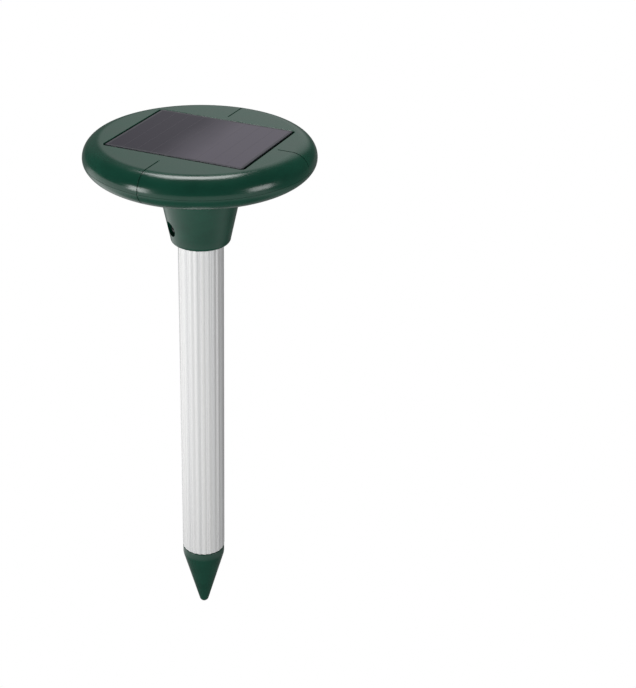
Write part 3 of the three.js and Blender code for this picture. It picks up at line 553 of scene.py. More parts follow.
def relief(tree, shader, height, depth):
    """Fine relief: the height pattern, from 0 to 1, raises the surface by up to the depth."""
    bump = node(tree, "Bump", {"Height": height, "Distance": depth, "Strength": 1.0})
    tree.links.new(bump.outputs[0], shader.inputs["Normal"])


flattened = (1, 1, 0.6)  # patches are wider than they are tall, as a melt leaves them


def patchy(name, colour, roughness, metallic=0.0, size=22 * mm, shift=0.12, speck=0.5 * mm,
           depth=0.004 * mm):
    """A surface whose colour and gloss drift in soft patches of one size, over a fine relief of
    another: the flow of pigment in moulded plastic, the spangle of plating, the cells of foam."""
    material, tree, shader, place = new_material(name, colour, roughness, metallic)
    flow = grain(tree, place, size, 4, flattened)
    low = [c * (1 - shift) for c in colour]
    high = [min(1, c * (1 + shift)) for c in colour]
    tree.links.new(shade_between(tree, flow, low, high), shader.inputs["Base Color"])
    dull = number_between(tree, flow, roughness * 0.88, min(1, roughness * 1.15))
    tree.links.new(dull, shader.inputs["Roughness"])
    relief(tree, shader, grain(tree, place, speck, 2, flattened), depth)
    return material


def finish(piece, material, slot, body, *nodes):
    """Gives a finished piece its material and its body, and hides the nodes it stands for; the slot is
    not used.
    """
    piece.data.materials.clear()
    piece.data.materials.append(material)
    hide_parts(*nodes)
    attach(piece, body)
    return piece


green = patchy("green_plastic", (0.006, 0.062, 0.038), 0.2)
finish(upper, green, "green_plastic", "stake", "top_cover")

# ---- Lower cover and neck ------------------------------------------------------------------------
# One green moulding: shallow belly, a flare into the tapered neck, and a socket that takes the
# tube. Counterbores hold the case screws, and two round recesses on the neck hold its screws.

neck_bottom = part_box("bottom_cover")[0].z
underside = neck_bottom + 48.2 * mm
inner_floor = underside + wall
neck_radius = 21 * mm
neck_slope = 0.208  # outward taper per metre of height
neck_fillet = 3 * mm
flare_radius = 10 * mm
socket_radius = 16.3 * mm
socket_top = neck_bottom + 36 * mm
socket_roof = socket_top + 2.4 * mm
grommet_hole = 4.9 * mm
seat = parting - 0.04 * mm
lead_in = 0.4 * mm  # chamfer at the socket's mouth


def neck_at(height):
    """The neck's outside radius at a height on its straight taper."""
    return neck_radius + neck_slope * (height - neck_bottom - neck_fillet)


def lower_cover_rows():
    """Rings from the socket's mouth round the neck's foot, up the taper and the flare, under the
    belly to the parting, over the tongue, and back down inside to the socket."""
    lean = math.degrees(math.atan(neck_slope))
    flare_centre = neck_at(underside) + flare_radius * math.tan(math.radians((90 - lean) / 2))
    taper_top = underside - flare_radius + flare_radius * math.sin(math.radians(lean))
    taper = np.linspace(neck_bottom + neck_fillet, taper_top, 9)[1:-1]
    outside = np.vstack([
        [(socket_radius + lead_in, neck_bottom), (neck_radius - neck_fillet, neck_bottom)],
        ellipse(neck_radius - neck_fillet, neck_bottom + neck_fillet,
                neck_fillet, neck_fillet, -90, 0, 10)[1:],
        np.stack([neck_at(taper), taper], -1),
        ellipse(flare_centre, underside - flare_radius, flare_radius, flare_radius,
                180 - lean, 90, 14),
        [((flare_centre + belly_radius) / 2, underside)],
        ellipse(belly_radius, widest, belly_run, belly_height, -90, -6, 34),
        [(rim_at_parting - 0.01 * mm, seat - chamfer), (rim_at_parting - chamfer, seat)],
    ])
    deep = groove_depth * np.clip((outside[:, 1] - inner_floor) / mm, 0, 1)
    rows = [
        circle_ring(r, z, depth, lean)
        for (r, z), depth, lean in zip(outside, deep, lean_of(outside))
    ]
    tongue_top = parting + 1.7 * mm
    inside = np.vstack([
        [(inner_radius + tongue_wall, seat), (inner_radius + tongue_wall, tongue_top)],
        [(inner_radius, tongue_top)],
        ellipse(belly_radius, widest, belly_run - wall, belly_height - wall, -4, -90, 16),
        [(neck_at(underside) + mm, inner_floor), (neck_at(socket_roof) - 3.8 * mm, socket_roof)],
        [(grommet_hole, socket_roof), (grommet_hole, socket_top), (socket_radius, socket_top)],
        [(socket_radius, neck_bottom + lead_in)],
    ])
    return rows + [circle_ring(r, z) for r, z in inside]


def radial_drill(angle, radius, start, end, columns):
    """A peg laid down so that it points out of the neck at an angle, at the neck screws' height,
    from one distance off the axis to another."""
    drill = peg((0, 0), radius, start, end, columns)
    drill.data.transform(
        Matrix.Translation((0, 0, neck_screw_height))
        @ Matrix.Rotation(angle, 4, "Z")
        @ Matrix.Rotation(math.pi / 2, 4, "Y")
    )
    return drill


neck_screw_height = neck_bottom + 13.2 * mm
neck_screw_turns = [math.radians(-126), math.radians(54)]
recess_radius = 5.5 * mm
recess_start = socket_radius + 2.4 * mm
board_low, board_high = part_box("circuit_board")
button_place = plan_centre("power_button")
posts = [(plan_centre(f"board_screw_{i}"), board_low.z) for i in (1, 2)]
posts += [(plan_centre(f"strap_screw_{i}"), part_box("strap_screw_1")[0].z + 4 * mm) for i in (1, 2)]
button_guide = 8.1 * mm
button_bore = 6.5 * mm
button_way = 4.9 * mm  # hole in the cover's skin that the button slides in
counterbore = 3.1 * mm
counterbore_top = underside + 6.5 * mm
post_radius = 3.2 * mm
small_pilot = 1.4 * mm  # holes for the board's and the strap's screws
small_depth = 6 * mm


def case_boss(place):
    """A screw boss, kept inside the belly's curved wall."""
    boss = peg(place, boss_radius, underside, seat - 0.2 * mm, 40)
    skin = wall / 2
    belly = ellipse(belly_radius, widest, belly_run - skin, belly_height - skin, -90, 0, 24)
    limit = turned(np.vstack([[(0, underside + skin)], belly, [(0, widest)]]), 96)
    return boolean(boss, "INTERSECT", limit)


lower = solid("cover_lower", np.stack(lower_cover_rows()), close_rows=True)
boolean(
    lower, "UNION",
    *[case_boss(place) for place in screw_places],
    *[peg(place, post_radius, inner_floor - wall / 2, high - fit, 32) for place, high in posts],
    peg(button_place, button_guide, inner_floor - wall / 2, inner_floor + 2.2 * mm, 48),
)
boolean(
    lower, "DIFFERENCE",
    *[peg(place, counterbore, underside - 3 * mm, counterbore_top, 40) for place in screw_places],
    *[peg(place, pilot_radius, underside, parting + mm, 24) for place in screw_places],
    *[peg(place, small_pilot, high - small_depth, high + mm, 24) for place, high in posts],
    peg(button_place, button_bore, inner_floor, inner_floor + 5 * mm, 48),
    peg(button_place, button_way, underside - mm, inner_floor + mm, 48),
    *[radial_drill(turn, recess_radius, recess_start, recess_start + 20 * mm, 48)
      for turn in neck_screw_turns],
    *[radial_drill(turn, pilot_radius, socket_radius - 3 * mm, recess_start + mm, 24)
      for turn in neck_screw_turns],
)
smooth(lower, 30)
finish(lower, green, "green_plastic", "stake", "bottom_cover")

# ---- Shell seal ----------------------------------------------------------------------------------
# A soft black rubber cord, joined into a ring, that lies on the lower cover's tongue and is
# pressed by the upper cover's rebate.

black_rubber = patchy("black_rubber", (0.018, 0.018, 0.019), 0.62, size=6 * mm, shift=0.2,
                      speck=0.35 * mm, depth=0.01 * mm)


def node_middle(name):
    """A node's middle."""
    low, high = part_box(name)
    return (low + high) / 2


seal_low, seal_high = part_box("shell_seal")
seal_width = (seal_high.x - inner_radius - 0.1 * mm) / 2
seal_profile = ellipse(seal_high.x - seal_width, (seal_low.z + seal_high.z) / 2,
                       seal_width, (seal_high.z - seal_low.z) / 2, 0, 360, 16)[:-1]
seal = smooth(turned(seal_profile, 192, name="seal_cord"))
finish(seal, black_rubber, "rubber", "stake", "shell_seal")

# ---- Screws --------------------------------------------------------------------------------------
# Self-tapping screws with pan heads and cross recesses: four zinc-plated ones from below into the
# upper cover's bosses, two black ones through the neck into the tube, and four small ones in the
# board and the strap.

zinc = patchy("zinc_plate", (0.55, 0.56, 0.56), 0.3, 1.0, size=1.6 * mm, shift=0.1,
              speck=0.25 * mm, depth=0.003 * mm)
blackened = patchy("black_oxide", (0.035, 0.036, 0.038), 0.42, 1.0, size=1.6 * mm, shift=0.2,
                   speck=0.25 * mm, depth=0.003 * mm)
screw_columns = 36


def threaded_screw(name, head, head_height, shank, length, pitch):
    """A screw that points up from its head at height 0. Under a domed pan head the shank's
    radius is its core plus a ridge that peaks where height over pitch meets the angle over a
    turn, and both fade into the point."""
    angle = np.arange(screw_columns) * 2 * math.pi / screw_columns
    dome = ellipse(head * 0.55, head_height * 0.55, head * 0.45, head_height * 0.55, -90, 0, 6)
    height = np.arange(head_height + 0.02 * mm, head_height + length, pitch / 8)
    point = np.clip((head_height + length - height) / (2.2 * shank), 0.06, 1)
    phase = (height[:, None] / pitch - angle / (2 * math.pi)) % 1
    ridge = np.clip(1 - np.abs(phase - 0.5) / 0.24, 0, 1)
    radius = point[:, None] * shank * (0.78 + 0.22 * ridge)
    plain = np.vstack([[(0, 0)], dome, [(head, head_height), (shank * 0.8, head_height)]])
    radius = np.vstack([np.broadcast_to(plain[:, :1], (len(plain), screw_columns)), radius])
    radius = np.vstack([radius, np.zeros(screw_columns)])
    height = np.concatenate([plain[:, 1], height, [head_height + length]])
    rows = np.stack([radius * np.cos(angle), radius * np.sin(angle),
                     np.broadcast_to(height[:, None], radius.shape)], -1)
    screw = solid(name, rows)
    slot = head * 0.16
    blades = []
    for turn in (0, math.pi / 2):
        blade = turned([(0, -mm), (head * 0.62, -mm), (head * 0.34, head_height * 0.6),
                        (0, head_height * 0.6)], 24, name="blade")
        blade.data.transform(Matrix.Rotation(turn, 4, "Z") @ Matrix.Diagonal(
            (1, slot / (head * 0.5), 1, 1)))
        blades.append(blade)
    return smooth(boolean(screw, "DIFFERENCE", *blades), 40)


for number, name in enumerate(case_screws):
    low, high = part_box(name)
    screw = threaded_screw(f"case_fixing_{number + 1}", 2.8 * mm, 2 * mm, 1.5 * mm,
                           high.z - low.z - 2 * mm, 1.1 * mm)
    screw.data.transform(Matrix.Translation((*plan_centre(name), low.z)))
    finish(screw, zinc, "steel", "stake", name)
for number, turn in enumerate(neck_screw_turns):
    screw = threaded_screw(f"neck_fixing_{number + 1}", 3.1 * mm, 2 * mm, 1.5 * mm, 6 * mm, 1 * mm)
    head_end = recess_start + fit + 2 * mm
    screw.data.transform(Matrix.Rotation(turn, 4, "Z") @ Matrix.Translation(
        (head_end, 0, neck_screw_height)) @ Matrix.Rotation(-math.pi / 2, 4, "Y"))
    finish(screw, blackened, "steel", "stake", f"neck_screw_{number + 1}")
for name in ("board_screw_1", "board_screw_2", "strap_screw_1", "strap_screw_2"):
    screw = threaded_screw(name.replace("screw", "fixing"), 2.3 * mm, 1.6 * mm, 1.1 * mm,
                           5.5 * mm, 0.8 * mm)
    screw.data.transform(Matrix.Translation((*plan_centre(name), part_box(name)[1].z))
                         @ Matrix.Rotation(math.pi, 4, "X"))
    finish(screw, zinc, "steel", "stake", name)

# ---- Stake tube ----------------------------------------------------------------------------------
# An aluminium extrusion with shallow flutes and a plain bore, satin anodised. Drawing it through
# the die leaves fine streaks along it, and its ends are chamfered where they were sawn.

tube_low, tube_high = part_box("stake_tube")
tube_radius = tube_high.x
tube_bore = tube_radius - 1.5 * mm
flute_count = 24
flute_depth = 0.35 * mm
tube_chamfer = 0.5 * mm
sawn = 0.15 * mm  # depth of the chamfer inside the bore


def fluted_tube():
    """Outside radius = tube radius - flute depth * (1 - cos(flutes * angle)) / 2, with the
    flutes rounded off at the end chamfers; inside, a plain bore."""
    angle = np.arange(flute_count * 14) * 2 * math.pi / (flute_count * 14)
    dip = flute_depth * (1 - np.cos(flute_count * angle)) / 2
    low, high = tube_low.z, tube_high.z
    outside = [(low, tube_chamfer), (low + tube_chamfer, 0), (low + 2 * mm, 0)]
    outside += [(z, 0) for z in np.linspace(low, high, 14)[1:-1]]
    outside += [(high - tube_chamfer, 0), (high, tube_chamfer)]
    rings = [(tube_radius - dip - inset, z) for z, inset in outside]
    rings += [(tube_bore + sawn, high), (tube_bore, high - sawn), (tube_bore, low + sawn)]
    rings += [(tube_bore + sawn, low)]
    rows = [
        np.stack([r * np.cos(angle), r * np.sin(angle), np.full_like(angle, z)], -1)
        for r, z in rings
    ]
    return solid("fluted_tube", np.stack(rows), close_rows=True)


def drawn_aluminium():
    """Satin aluminium, whose etched and anodised skin is part mirror and part matt: streaks that
    run the tube's whole length change its tone and gloss, and a broader set its tone again."""
    material, tree, shader, place = new_material("drawn_aluminium", (0.95, 0.95, 0.95), 0.34, 0.38)
    fine = grain(tree, place, 0.9 * mm, 3, stretch=(1, 1, 900))
    broad = grain(tree, place, 3.4 * mm, 2, stretch=(1, 1, 500))
    both = node(tree, "Mix", {0: 0.5, 2: fine, 3: broad}, data_type="FLOAT").outputs[0]
    tone = shade_between(tree, both, (0.78, 0.79, 0.80), (0.99, 0.99, 0.98), 0.36, 0.62)
    tree.links.new(tone, shader.inputs["Base Color"])
    tree.links.new(number_between(tree, fine, 0.2, 0.42), shader.inputs["Roughness"])
    relief(tree, shader, fine, 0.03 * mm)
    return material


tube = fluted_tube()
boolean(tube, "DIFFERENCE", *[
    radial_drill(turn, pilot_radius, tube_bore - 2 * mm, tube_radius + 2 * mm, 24)
    for turn in neck_screw_turns
])
finish(smooth(tube, 30), drawn_aluminium(), "aluminium", "stake", "stake_tube")

# ---- Point ---------------------------------------------------------------------------------------
# A green moulding driven into the soil: a straight band as wide as the tube, a long cone with a
# rounded nose, and a hollow plug that fits the tube's bore.

tip_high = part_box("tip_cone")[1]
tip_length = 54 * mm
tip_band = 6.2 * mm
tip_radius = tip_high.x
tip_nose = 3.6 * mm
band_rounding = 12 * mm
plug_radius = tube_bore - fit
plug_wall = 3 * mm


def driving_point():
    """Profile: a circular nose, a straight flank tangent to it, a wide arc into the band, the
    step on which the tube stands, and the plug with its hollow core."""
    cone_top = tip_length - tip_band
    slant = math.atan((tip_radius - tip_nose) / cone_top)
    lean = math.degrees(slant)
    turn_z = cone_top + band_rounding * math.tan(slant / 2)
    nose = ellipse(0, tip_nose, tip_nose, tip_nose, -90, -lean, 14)
    shoulder = ellipse(tip_radius - band_rounding, turn_z, band_rounding, band_rounding, -lean, 0, 8)
    share = np.linspace(0, 1, 12)[1:-1, None]
    flank = nose[-1] * (1 - share) + shoulder[0] * share
    edge = 0.35 * mm
    plug_top = tip_high.z
    core = plug_radius - plug_wall
    return np.vstack([
        nose, flank, shoulder,
        ellipse(tip_radius - edge, tip_length - edge, edge, edge, 0, 90, 5),
        [(plug_radius, tip_length), (plug_radius, plug_top - mm), (plug_radius - mm, plug_top)],
        [(core + 0.4 * mm, plug_top), (core, plug_top - 0.4 * mm), (core, cone_top - plug_wall)],
        [(core / 4, tip_length / 2), (0, tip_length / 2)],
    ])


point = smooth(turned(driving_point(), 128, name="driving_point"), 34)
finish(point, green, "green_plastic", "stake", "tip_cone")

# ---- Solar panel ---------------------------------------------------------------------------------
# A clear, glossy sheet laminated over dark thin-film cells on a stiff board, bedded in the well on
# a frame of foam tape. Fine scribed lines part the cells, and a thin border is left round them.


def slab(name, half, corner, low, high, edge, centre=(0, 0), hole=None):
    """A rounded plate: its outline shrinks by edge * (1 - sin) while it rises by edge * (1 - cos)
    round its lower and upper edges. With a hole it is a frame, otherwise it closes at its
    middle."""
    half = np.asarray(half, float)
    angle = np.linspace(-math.pi, math.pi, 161)[:-1]
    sharp = np.arctan2(half[1] - corner, half[0] - corner)
    for turn in (sharp, -sharp, math.pi - sharp, sharp - math.pi):
        angle = np.append(angle, turn + np.linspace(-1.2, 1.2, 9) * corner / np.hypot(*half))
    angle = np.unique((angle + math.pi) % (2 * math.pi) - math.pi)
    bend = np.radians([0, 30, 60, 90])
    held = 1.2 * edge + 0.1 * mm  # a ring this far in keeps the flat faces' shading flat

    def ring(shrunk, height, size=half, rounding=corner):
        """The outline, shrunk by a distance, at a height."""
        radius = rectangle_radius(angle, size - shrunk, max(rounding - shrunk, 0.05 * mm))
        return np.stack([centre[0] + radius * np.cos(angle), centre[1] + radius * np.sin(angle),
                         np.full_like(angle, height)], -1)

    head = [ring(edge * (1 - math.cos(b)), high - edge * (1 - math.sin(b))) for b in bend]
    foot = [ring(held, low), ring(edge, low)] + [
        ring(edge * (1 - math.sin(b)), low + edge * (1 - math.cos(b))) for b in bend[1:]
    ]
    outside = foot + head + [ring(held, high)]
    if hole is None:
        middle = np.array([centre[0], centre[1], 0.0])
        lowest = np.broadcast_to(middle + [0, 0, low], outside[0].shape)
        highest = np.broadcast_to(middle + [0, 0, high], outside[0].shape)
        return solid(name, np.stack([lowest, *outside, highest]))
    inside = [ring(0, z, np.asarray(hole, float), corner) for z in (high, low)]
    return solid(name, np.stack(outside + inside), close_rows=True)


scribe_pitch = 10.8 * mm
scribe_width = 0.22 * mm
cell_half = np.array([48.5, 37.75]) * mm
tape_width = 7 * mm


def stripes(tree, place, axis, pitch, width):
    """A number that is 1 on thin lines a pitch apart across an axis, and 0 between them."""
    split = node(tree, "SeparateXYZ", {0: place}).outputs[axis]
    share = arithmetic(tree, "FRACT", arithmetic(tree, "DIVIDE", split, pitch))
    away = arithmetic(tree, "ABSOLUTE", arithmetic(tree, "SUBTRACT", share, 0.5))
    return arithmetic(tree, "LESS_THAN", away, width / pitch / 2)


def outside_of(tree, place, half):
    """A number that is 1 outside a rectangle about the axis, and 0 inside it."""
    parts = node(tree, "SeparateXYZ", {0: place}).outputs
    beyond = [
        arithmetic(tree, "GREATER_THAN", arithmetic(tree, "ABSOLUTE", parts[k]), half[k])
        for k in (0, 1)
    ]
    return arithmetic(tree, "MAXIMUM", *beyond)


def panel_film():
    """Dark purple-grey cells seen through a clear gloss: a painted reflection makes the tint grow
    paler from the left end to the right, with faint clouds in it; pale scribed lines between the
    cells, and a plain border."""
    material, tree, shader, place = new_material(
        "panel_film", (0.030, 0.024, 0.036), 0.34, Coat_Weight=0.6, Coat_Roughness=0.07,
        Coat_IOR=1.5, Specular_IOR_Level=0.0,
    )
    cloud = grain(tree, place, 26 * mm, 3)
    # painted reflection: the tint is made paler from the left end to the right, standing in for a lamp's
    # sheen on the gloss
    painted_reflection_ramp = number_between(tree, along(tree, place, (1, 0, 0)), 0.0, 0.9, panel_low.x, panel_high.x)
    mixed = arithmetic(tree, "ADD", painted_reflection_ramp, arithmetic(tree, "MULTIPLY", cloud, 0.1))
    tone = shade_between(tree, mixed, (0.016, 0.012, 0.027), (0.095, 0.084, 0.112))
    lines = stripes(tree, place, 0, scribe_pitch, scribe_width)
    lined = painted(tree, lines, tone, (0.06, 0.05, 0.07, 1))
    edged = painted(tree, outside_of(tree, place, cell_half), lined, (0.05, 0.05, 0.062, 1))
    tree.links.new(edged, shader.inputs["Base Color"])
    tree.links.new(number_between(tree, cloud, 0.3, 0.42), shader.inputs["Roughness"])
    relief(tree, shader, grain(tree, place, 3 * mm, 2), 0.004 * mm)
    return material


def layer(name, node_name, material, slot, corner=panel_corner, edge=0.08 * mm, hole=None):
    """One layer of the panel, as thick and as wide as its node."""
    low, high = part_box(node_name)
    made = slab(name, (high.x, high.y), corner, low.z, high.z, edge, hole=hole)
    return finish(smooth(made, 35), material, slot, "stake", node_name)


layer("panel_sheet", "panel_face", panel_film(), "panel_film", edge=0.45 * mm)
silicon = patchy("cell_silicon", (0.022, 0.018, 0.035), 0.28, size=14 * mm, shift=0.25,
                 speck=1.2 * mm)
layer("cell_sheet", "solar_cells", silicon, "silicon", corner=0.8 * mm, edge=0.04 * mm)


def glass_fibre(name, colour):
    """Laminate: the weave of glass cloth shows as two crossed sets of fine lines."""
    material, tree, shader, place = new_material(name, colour, 0.45)
    weave = arithmetic(tree, "ADD", *[
        stripes(tree, place, axis, 0.5 * mm, 0.22 * mm) for axis in (0, 1)
    ])
    light = [c * 1.35 for c in colour]
    tree.links.new(shade_between(tree, weave, colour, light, 0, 2), shader.inputs["Base Color"])
    relief(tree, shader, weave, 0.006 * mm)
    return material


board_green = glass_fibre("board_laminate", (0.02, 0.085, 0.035))
layer("backing_board", "panel_backing", board_green, "board_laminate")
foam_black = patchy("closed_cell_foam", (0.028, 0.028, 0.03), 0.9, size=0.9 * mm, shift=0.35,
                    speck=0.45 * mm, depth=0.12 * mm)
layer("tape_frame", "panel_gasket", foam_black, "foam", hole=panel_half - tape_width)

# ---- Power button and switch ---------------------------------------------------------------------
# A black moulded button under the head, held in by a flange and sealed by a rubber ring in its
# groove. Its stem pushes the plunger of a latching switch on the board.

black_plastic = patchy("black_plastic", (0.02, 0.02, 0.022), 0.42, size=8 * mm, speck=0.3 * mm,
                       depth=0.012 * mm)
white_plastic = patchy("white_plastic", (0.72, 0.70, 0.64), 0.4, size=8 * mm, shift=0.05)


def eased(points, ease, steps=3):
    """A path whose corners are each replaced by a short curve: a quadratic from a little before
    the corner to a little after it, with the corner as its control point."""
    points = np.asarray(points, float)
    corner = points[1:-1]
    back, fore = points[:-2] - corner, points[2:] - corner
    reach = [np.minimum(ease / np.linalg.norm(side, axis=1), 0.45)[:, None] for side in (back, fore)]
    start, end = corner + back * reach[0], corner + fore * reach[1]
    share = np.linspace(0, 1, steps + 1)[:, None]
    curve = (
        (1 - share) ** 2 * start[:, None] + 2 * share * (1 - share) * corner[:, None]
        + share**2 * end[:, None]
    )
    return np.vstack([points[:1], curve.reshape(-1, points.shape[1]), points[-1:]])


def turned_piece(name, profile, centre, material, slot, body, node_name, columns=64,
                 ease=0.15 * mm):
    """A turned or moulded round piece with eased corners, finished in one go. A profile that
    doesn't start and end on the axis closes on itself."""
    made = smooth(turned(eased(profile, ease), columns, centre, name), 40)
    return finish(made, material, slot, body, node_name)


button_low, button_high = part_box("power_button")
button_radius = 4.6 * mm
button_flange = 6.2 * mm
button_stem = 2.2 * mm
seal_height = node_middle("button_seal").z
seal_groove = 0.5 * mm  # half of the groove's height
groove_bottom = button_radius - 0.85 * mm
flange_low = inner_floor + 0.1 * mm
flange_high = flange_low + mm
button = button_low.z
hollow = button_radius - 1.5 * mm  # radius of the finger hollow in the button's face
button_profile = [
    (0, button + 0.45 * mm), (hollow * 0.6, button + 0.3 * mm), (hollow, button),
    (button_radius - 0.5 * mm, button), (button_radius, button + 0.5 * mm),
    (button_radius, seal_height - seal_groove), (groove_bottom, seal_height - seal_groove),
    (groove_bottom, seal_height + seal_groove), (button_radius, seal_height + seal_groove),
    (button_radius, flange_low), (button_flange, flange_low), (button_flange, flange_high),
    (button_stem, flange_high), (button_stem, button_high.z), (0, button_high.z),
]
turned_piece("push_button", button_profile, button_place, black_plastic, "black_plastic",
             "button", "power_button", 72, 0.12 * mm)
seal_ring = ellipse(button_radius - 0.2 * mm, seal_height, 0.35 * mm, 0.35 * mm, 0, 360, 14)[:-1]
ring_piece = smooth(turned(seal_ring, 72, button_place, "button_ring"))
finish(ring_piece, black_rubber, "rubber", "button", "button_seal")

switch_low, switch_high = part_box("switch_body")
stem_low, stem_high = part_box("switch_plunger")
switch_half = (switch_high.x, (switch_high.y - switch_low.y) / 2)
switch = slab("switch_case", switch_half, 0.5 * mm, switch_low.z, switch_high.z, 0.25 * mm,
              button_place)
boolean(switch, "DIFFERENCE",
        peg(button_place, 1.9 * mm, switch_low.z - mm, stem_high.z + 1.8 * mm, 32))
finish(smooth(switch, 30), black_plastic, "black_plastic", "stake", "switch_body")
stem_profile = [(0, stem_low.z), (1.6 * mm, stem_low.z), (1.6 * mm, stem_high.z - 0.4 * mm),
                (1.2 * mm, stem_high.z), (0, stem_high.z)]
turned_piece("switch_stem", stem_profile, button_place, white_plastic, "white_plastic", "button",
             "switch_plunger", 40)

# ---- Circuit board -------------------------------------------------------------------------------
# A glass-fibre board on two posts, with a controller chip, a storage capacitor, a boost inductor
# wound on a ferrite drum, and two white crimp connectors with their plugs.


def block(name, node_name, corner, edge):
    """A slab that fills its node's box."""
    low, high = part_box(node_name)
    return slab(name, plan_half(node_name), corner, low.z, high.z, edge, plan_centre(node_name))


board = block("main_board", "circuit_board", 1.2 * mm, 0.06 * mm)
boolean(board, "DIFFERENCE", *[
    peg(plan_centre(f"board_screw_{i}"), small_pilot, board_low.z - mm, board_high.z + mm, 32)
    for i in (1, 2)
])
finish(smooth(board, 30), board_green, "board_laminate", "stake", "circuit_board")


def swept(name, path, section, upward):
    """A closed section of (sideways, upward) points carried along a path. Across the path,
    sideways is the path's direction crossed with the given upward direction, and the section's
    own upward is sideways crossed with the path's direction. The ends close at their middles."""
    path, section = np.asarray(path, float), np.asarray(section, float)
    ahead = np.gradient(path, axis=0)
    ahead /= np.linalg.norm(ahead, axis=1)[:, None]
    side = np.cross(ahead, np.asarray(upward, float))
    side /= np.linalg.norm(side, axis=1)[:, None]
    raised = np.cross(side, ahead)
    rows = (
        path[:, None] + section[None, :, :1] * side[:, None] + section[None, :, 1:] * raised[:, None]
    )
    first = np.broadcast_to(path[0], rows[0].shape)
    last = np.broadcast_to(path[-1], rows[0].shape)
    return solid(name, np.concatenate([first[None], rows, last[None]]))


def bar_section(width, height, corner):
    """A rounded rectangle as (sideways, upward) points."""
    angle = np.linspace(0, 2 * math.pi, 49)[:-1]
    radius = rectangle_radius(angle, np.array([width, height]) / 2, corner)
    return np.stack([radius * np.cos(angle), radius * np.sin(angle)], -1)


chip_low, chip_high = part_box("controller_chip")
chip_x, chip_y = plan_centre("controller_chip")
chip = slab("control_chip", (plan_half("controller_chip")[0], 2 * mm), 0.2 * mm,
            chip_low.z + 0.2 * mm, chip_high.z, 0.15 * mm, (chip_x, chip_y))
leg_pitch = 1.27 * mm
leg_root, leg_level = chip_low.z + 0.9 * mm, chip_low.z + 0.1 * mm
leg_section = bar_section(0.42 * mm, 0.16 * mm, 0.04 * mm)
legs = []
for number in range(-3, 4):
    x = chip_x + number * leg_pitch
    for side in (-mm, mm):
        bend = eased([(x, chip_y + side * 1.8, leg_root), (x, chip_y + side * 2.5, leg_root),
                      (x, chip_y + side * 2.7, leg_level), (x, chip_y + side * 3.2, leg_level)],
                     0.25 * mm)
        legs.append(swept("leg", bend, leg_section, (1, 0, 0)))
boolean(chip, "UNION", *legs)
finish(smooth(chip, 30), black_plastic, "black_plastic", "stake", "controller_chip")

can_low, can_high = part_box("storage_capacitor")
can_radius = plan_half("storage_capacitor")[0]
bead = 0.35 * mm  # depth of the rolled groove near the can's foot
can_profile = [(0, can_low.z), (can_radius * 0.9, can_low.z), (can_radius, can_low.z + 0.3 * mm),
               (can_radius, can_low.z + mm), (can_radius - bead, can_low.z + 1.4 * mm),
               (can_radius, can_low.z + 1.8 * mm), (can_radius, can_high.z - 0.2 * mm),
               (can_radius - 0.3 * mm, can_high.z), (can_radius - 0.7 * mm, can_high.z),
               (can_radius - 0.9 * mm, can_high.z - 0.2 * mm), (0, can_high.z - 0.2 * mm)]
turned_piece("storage_can", can_profile, plan_centre("storage_capacitor"), black_plastic,
             "black_plastic", "stake", "storage_capacitor", 48)

drum_low, drum_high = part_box("boost_inductor")
ferrite = patchy("sintered_ferrite", (0.035, 0.035, 0.04), 0.7, size=2 * mm, shift=0.25,
                 speck=0.2 * mm, depth=0.02 * mm)
drum_radius = plan_half("boost_inductor")[0]
drum_waist = 3.25 * mm
drum_rim = 1.2 * mm  # thickness of its two end discs
wound = np.linspace(0, 1, 90)[:, None]  # the winding on the drum's waist, as a row of round turns
winding = np.hstack([drum_waist + 0.22 * mm * np.abs(np.sin(wound * 9 * math.pi)),
                     drum_low.z + 1.5 * mm + wound * 3 * mm])
drum_profile = np.vstack([
    eased([(0, drum_low.z), (drum_radius, drum_low.z), (drum_radius, drum_low.z + drum_rim),
           (drum_waist, drum_low.z + drum_rim + 0.25 * mm)], 0.15 * mm),
    winding,
    eased([(drum_waist, drum_high.z - drum_rim - 0.25 * mm), (drum_radius, drum_high.z - drum_rim),
           (drum_radius, drum_high.z), (0, drum_high.z)], 0.15 * mm),
])
drum = smooth(turned(drum_profile, 48, plan_centre("boost_inductor"), "wound_drum"), 40)
finish(drum, ferrite, "ferrite", "stake", "boost_inductor")

pin_shift = 1.2 * mm  # from a connector's middle to each of its two pins


def crimp_connector(name):
    """A white box open towards the leads with walls 1 mm thick, and its plug, on whose top two
    slots show the crimped pins."""
    socket, plug = f"{name}_socket", f"{name}_plug"
    low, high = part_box(socket)
    across, deep = plan_half(socket)
    x, y = plan_centre(socket)
    shell = block(f"{name}_header", socket, 0.4 * mm, 0.15 * mm)
    boolean(shell, "DIFFERENCE", slab("cavity", (across - mm, deep), 0.3 * mm, low.z + mm,
                                      high.z - mm, 0.1 * mm, (x, y + mm)))
    finish(smooth(shell, 30), white_plastic, "white_plastic", "stake", socket)
    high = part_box(plug)[1]
    body = block(f"{name}_crimp_plug", plug, 0.4 * mm, 0.2 * mm)
    boolean(body, "DIFFERENCE", *[
        slab("slot", (0.35 * mm, 1.6 * mm), 0.1 * mm, high.z - 0.3 * mm, high.z + 0.01 * mm,
             0.05 * mm, (plan_centre(plug)[0] + shift, high.y - 2.4 * mm))
        for shift in (-pin_shift, pin_shift)
    ])
    finish(smooth(body, 30), white_plastic, "white_plastic", "stake", plug)


crimp_connector("battery")
crimp_connector("sounder")

# ---- Battery pack --------------------------------------------------------------------------------
# Two rechargeable AA cells lie head to tail in a black tray, joined by a nickel strip, with a
# moulded strap over both that is screwed to two posts.

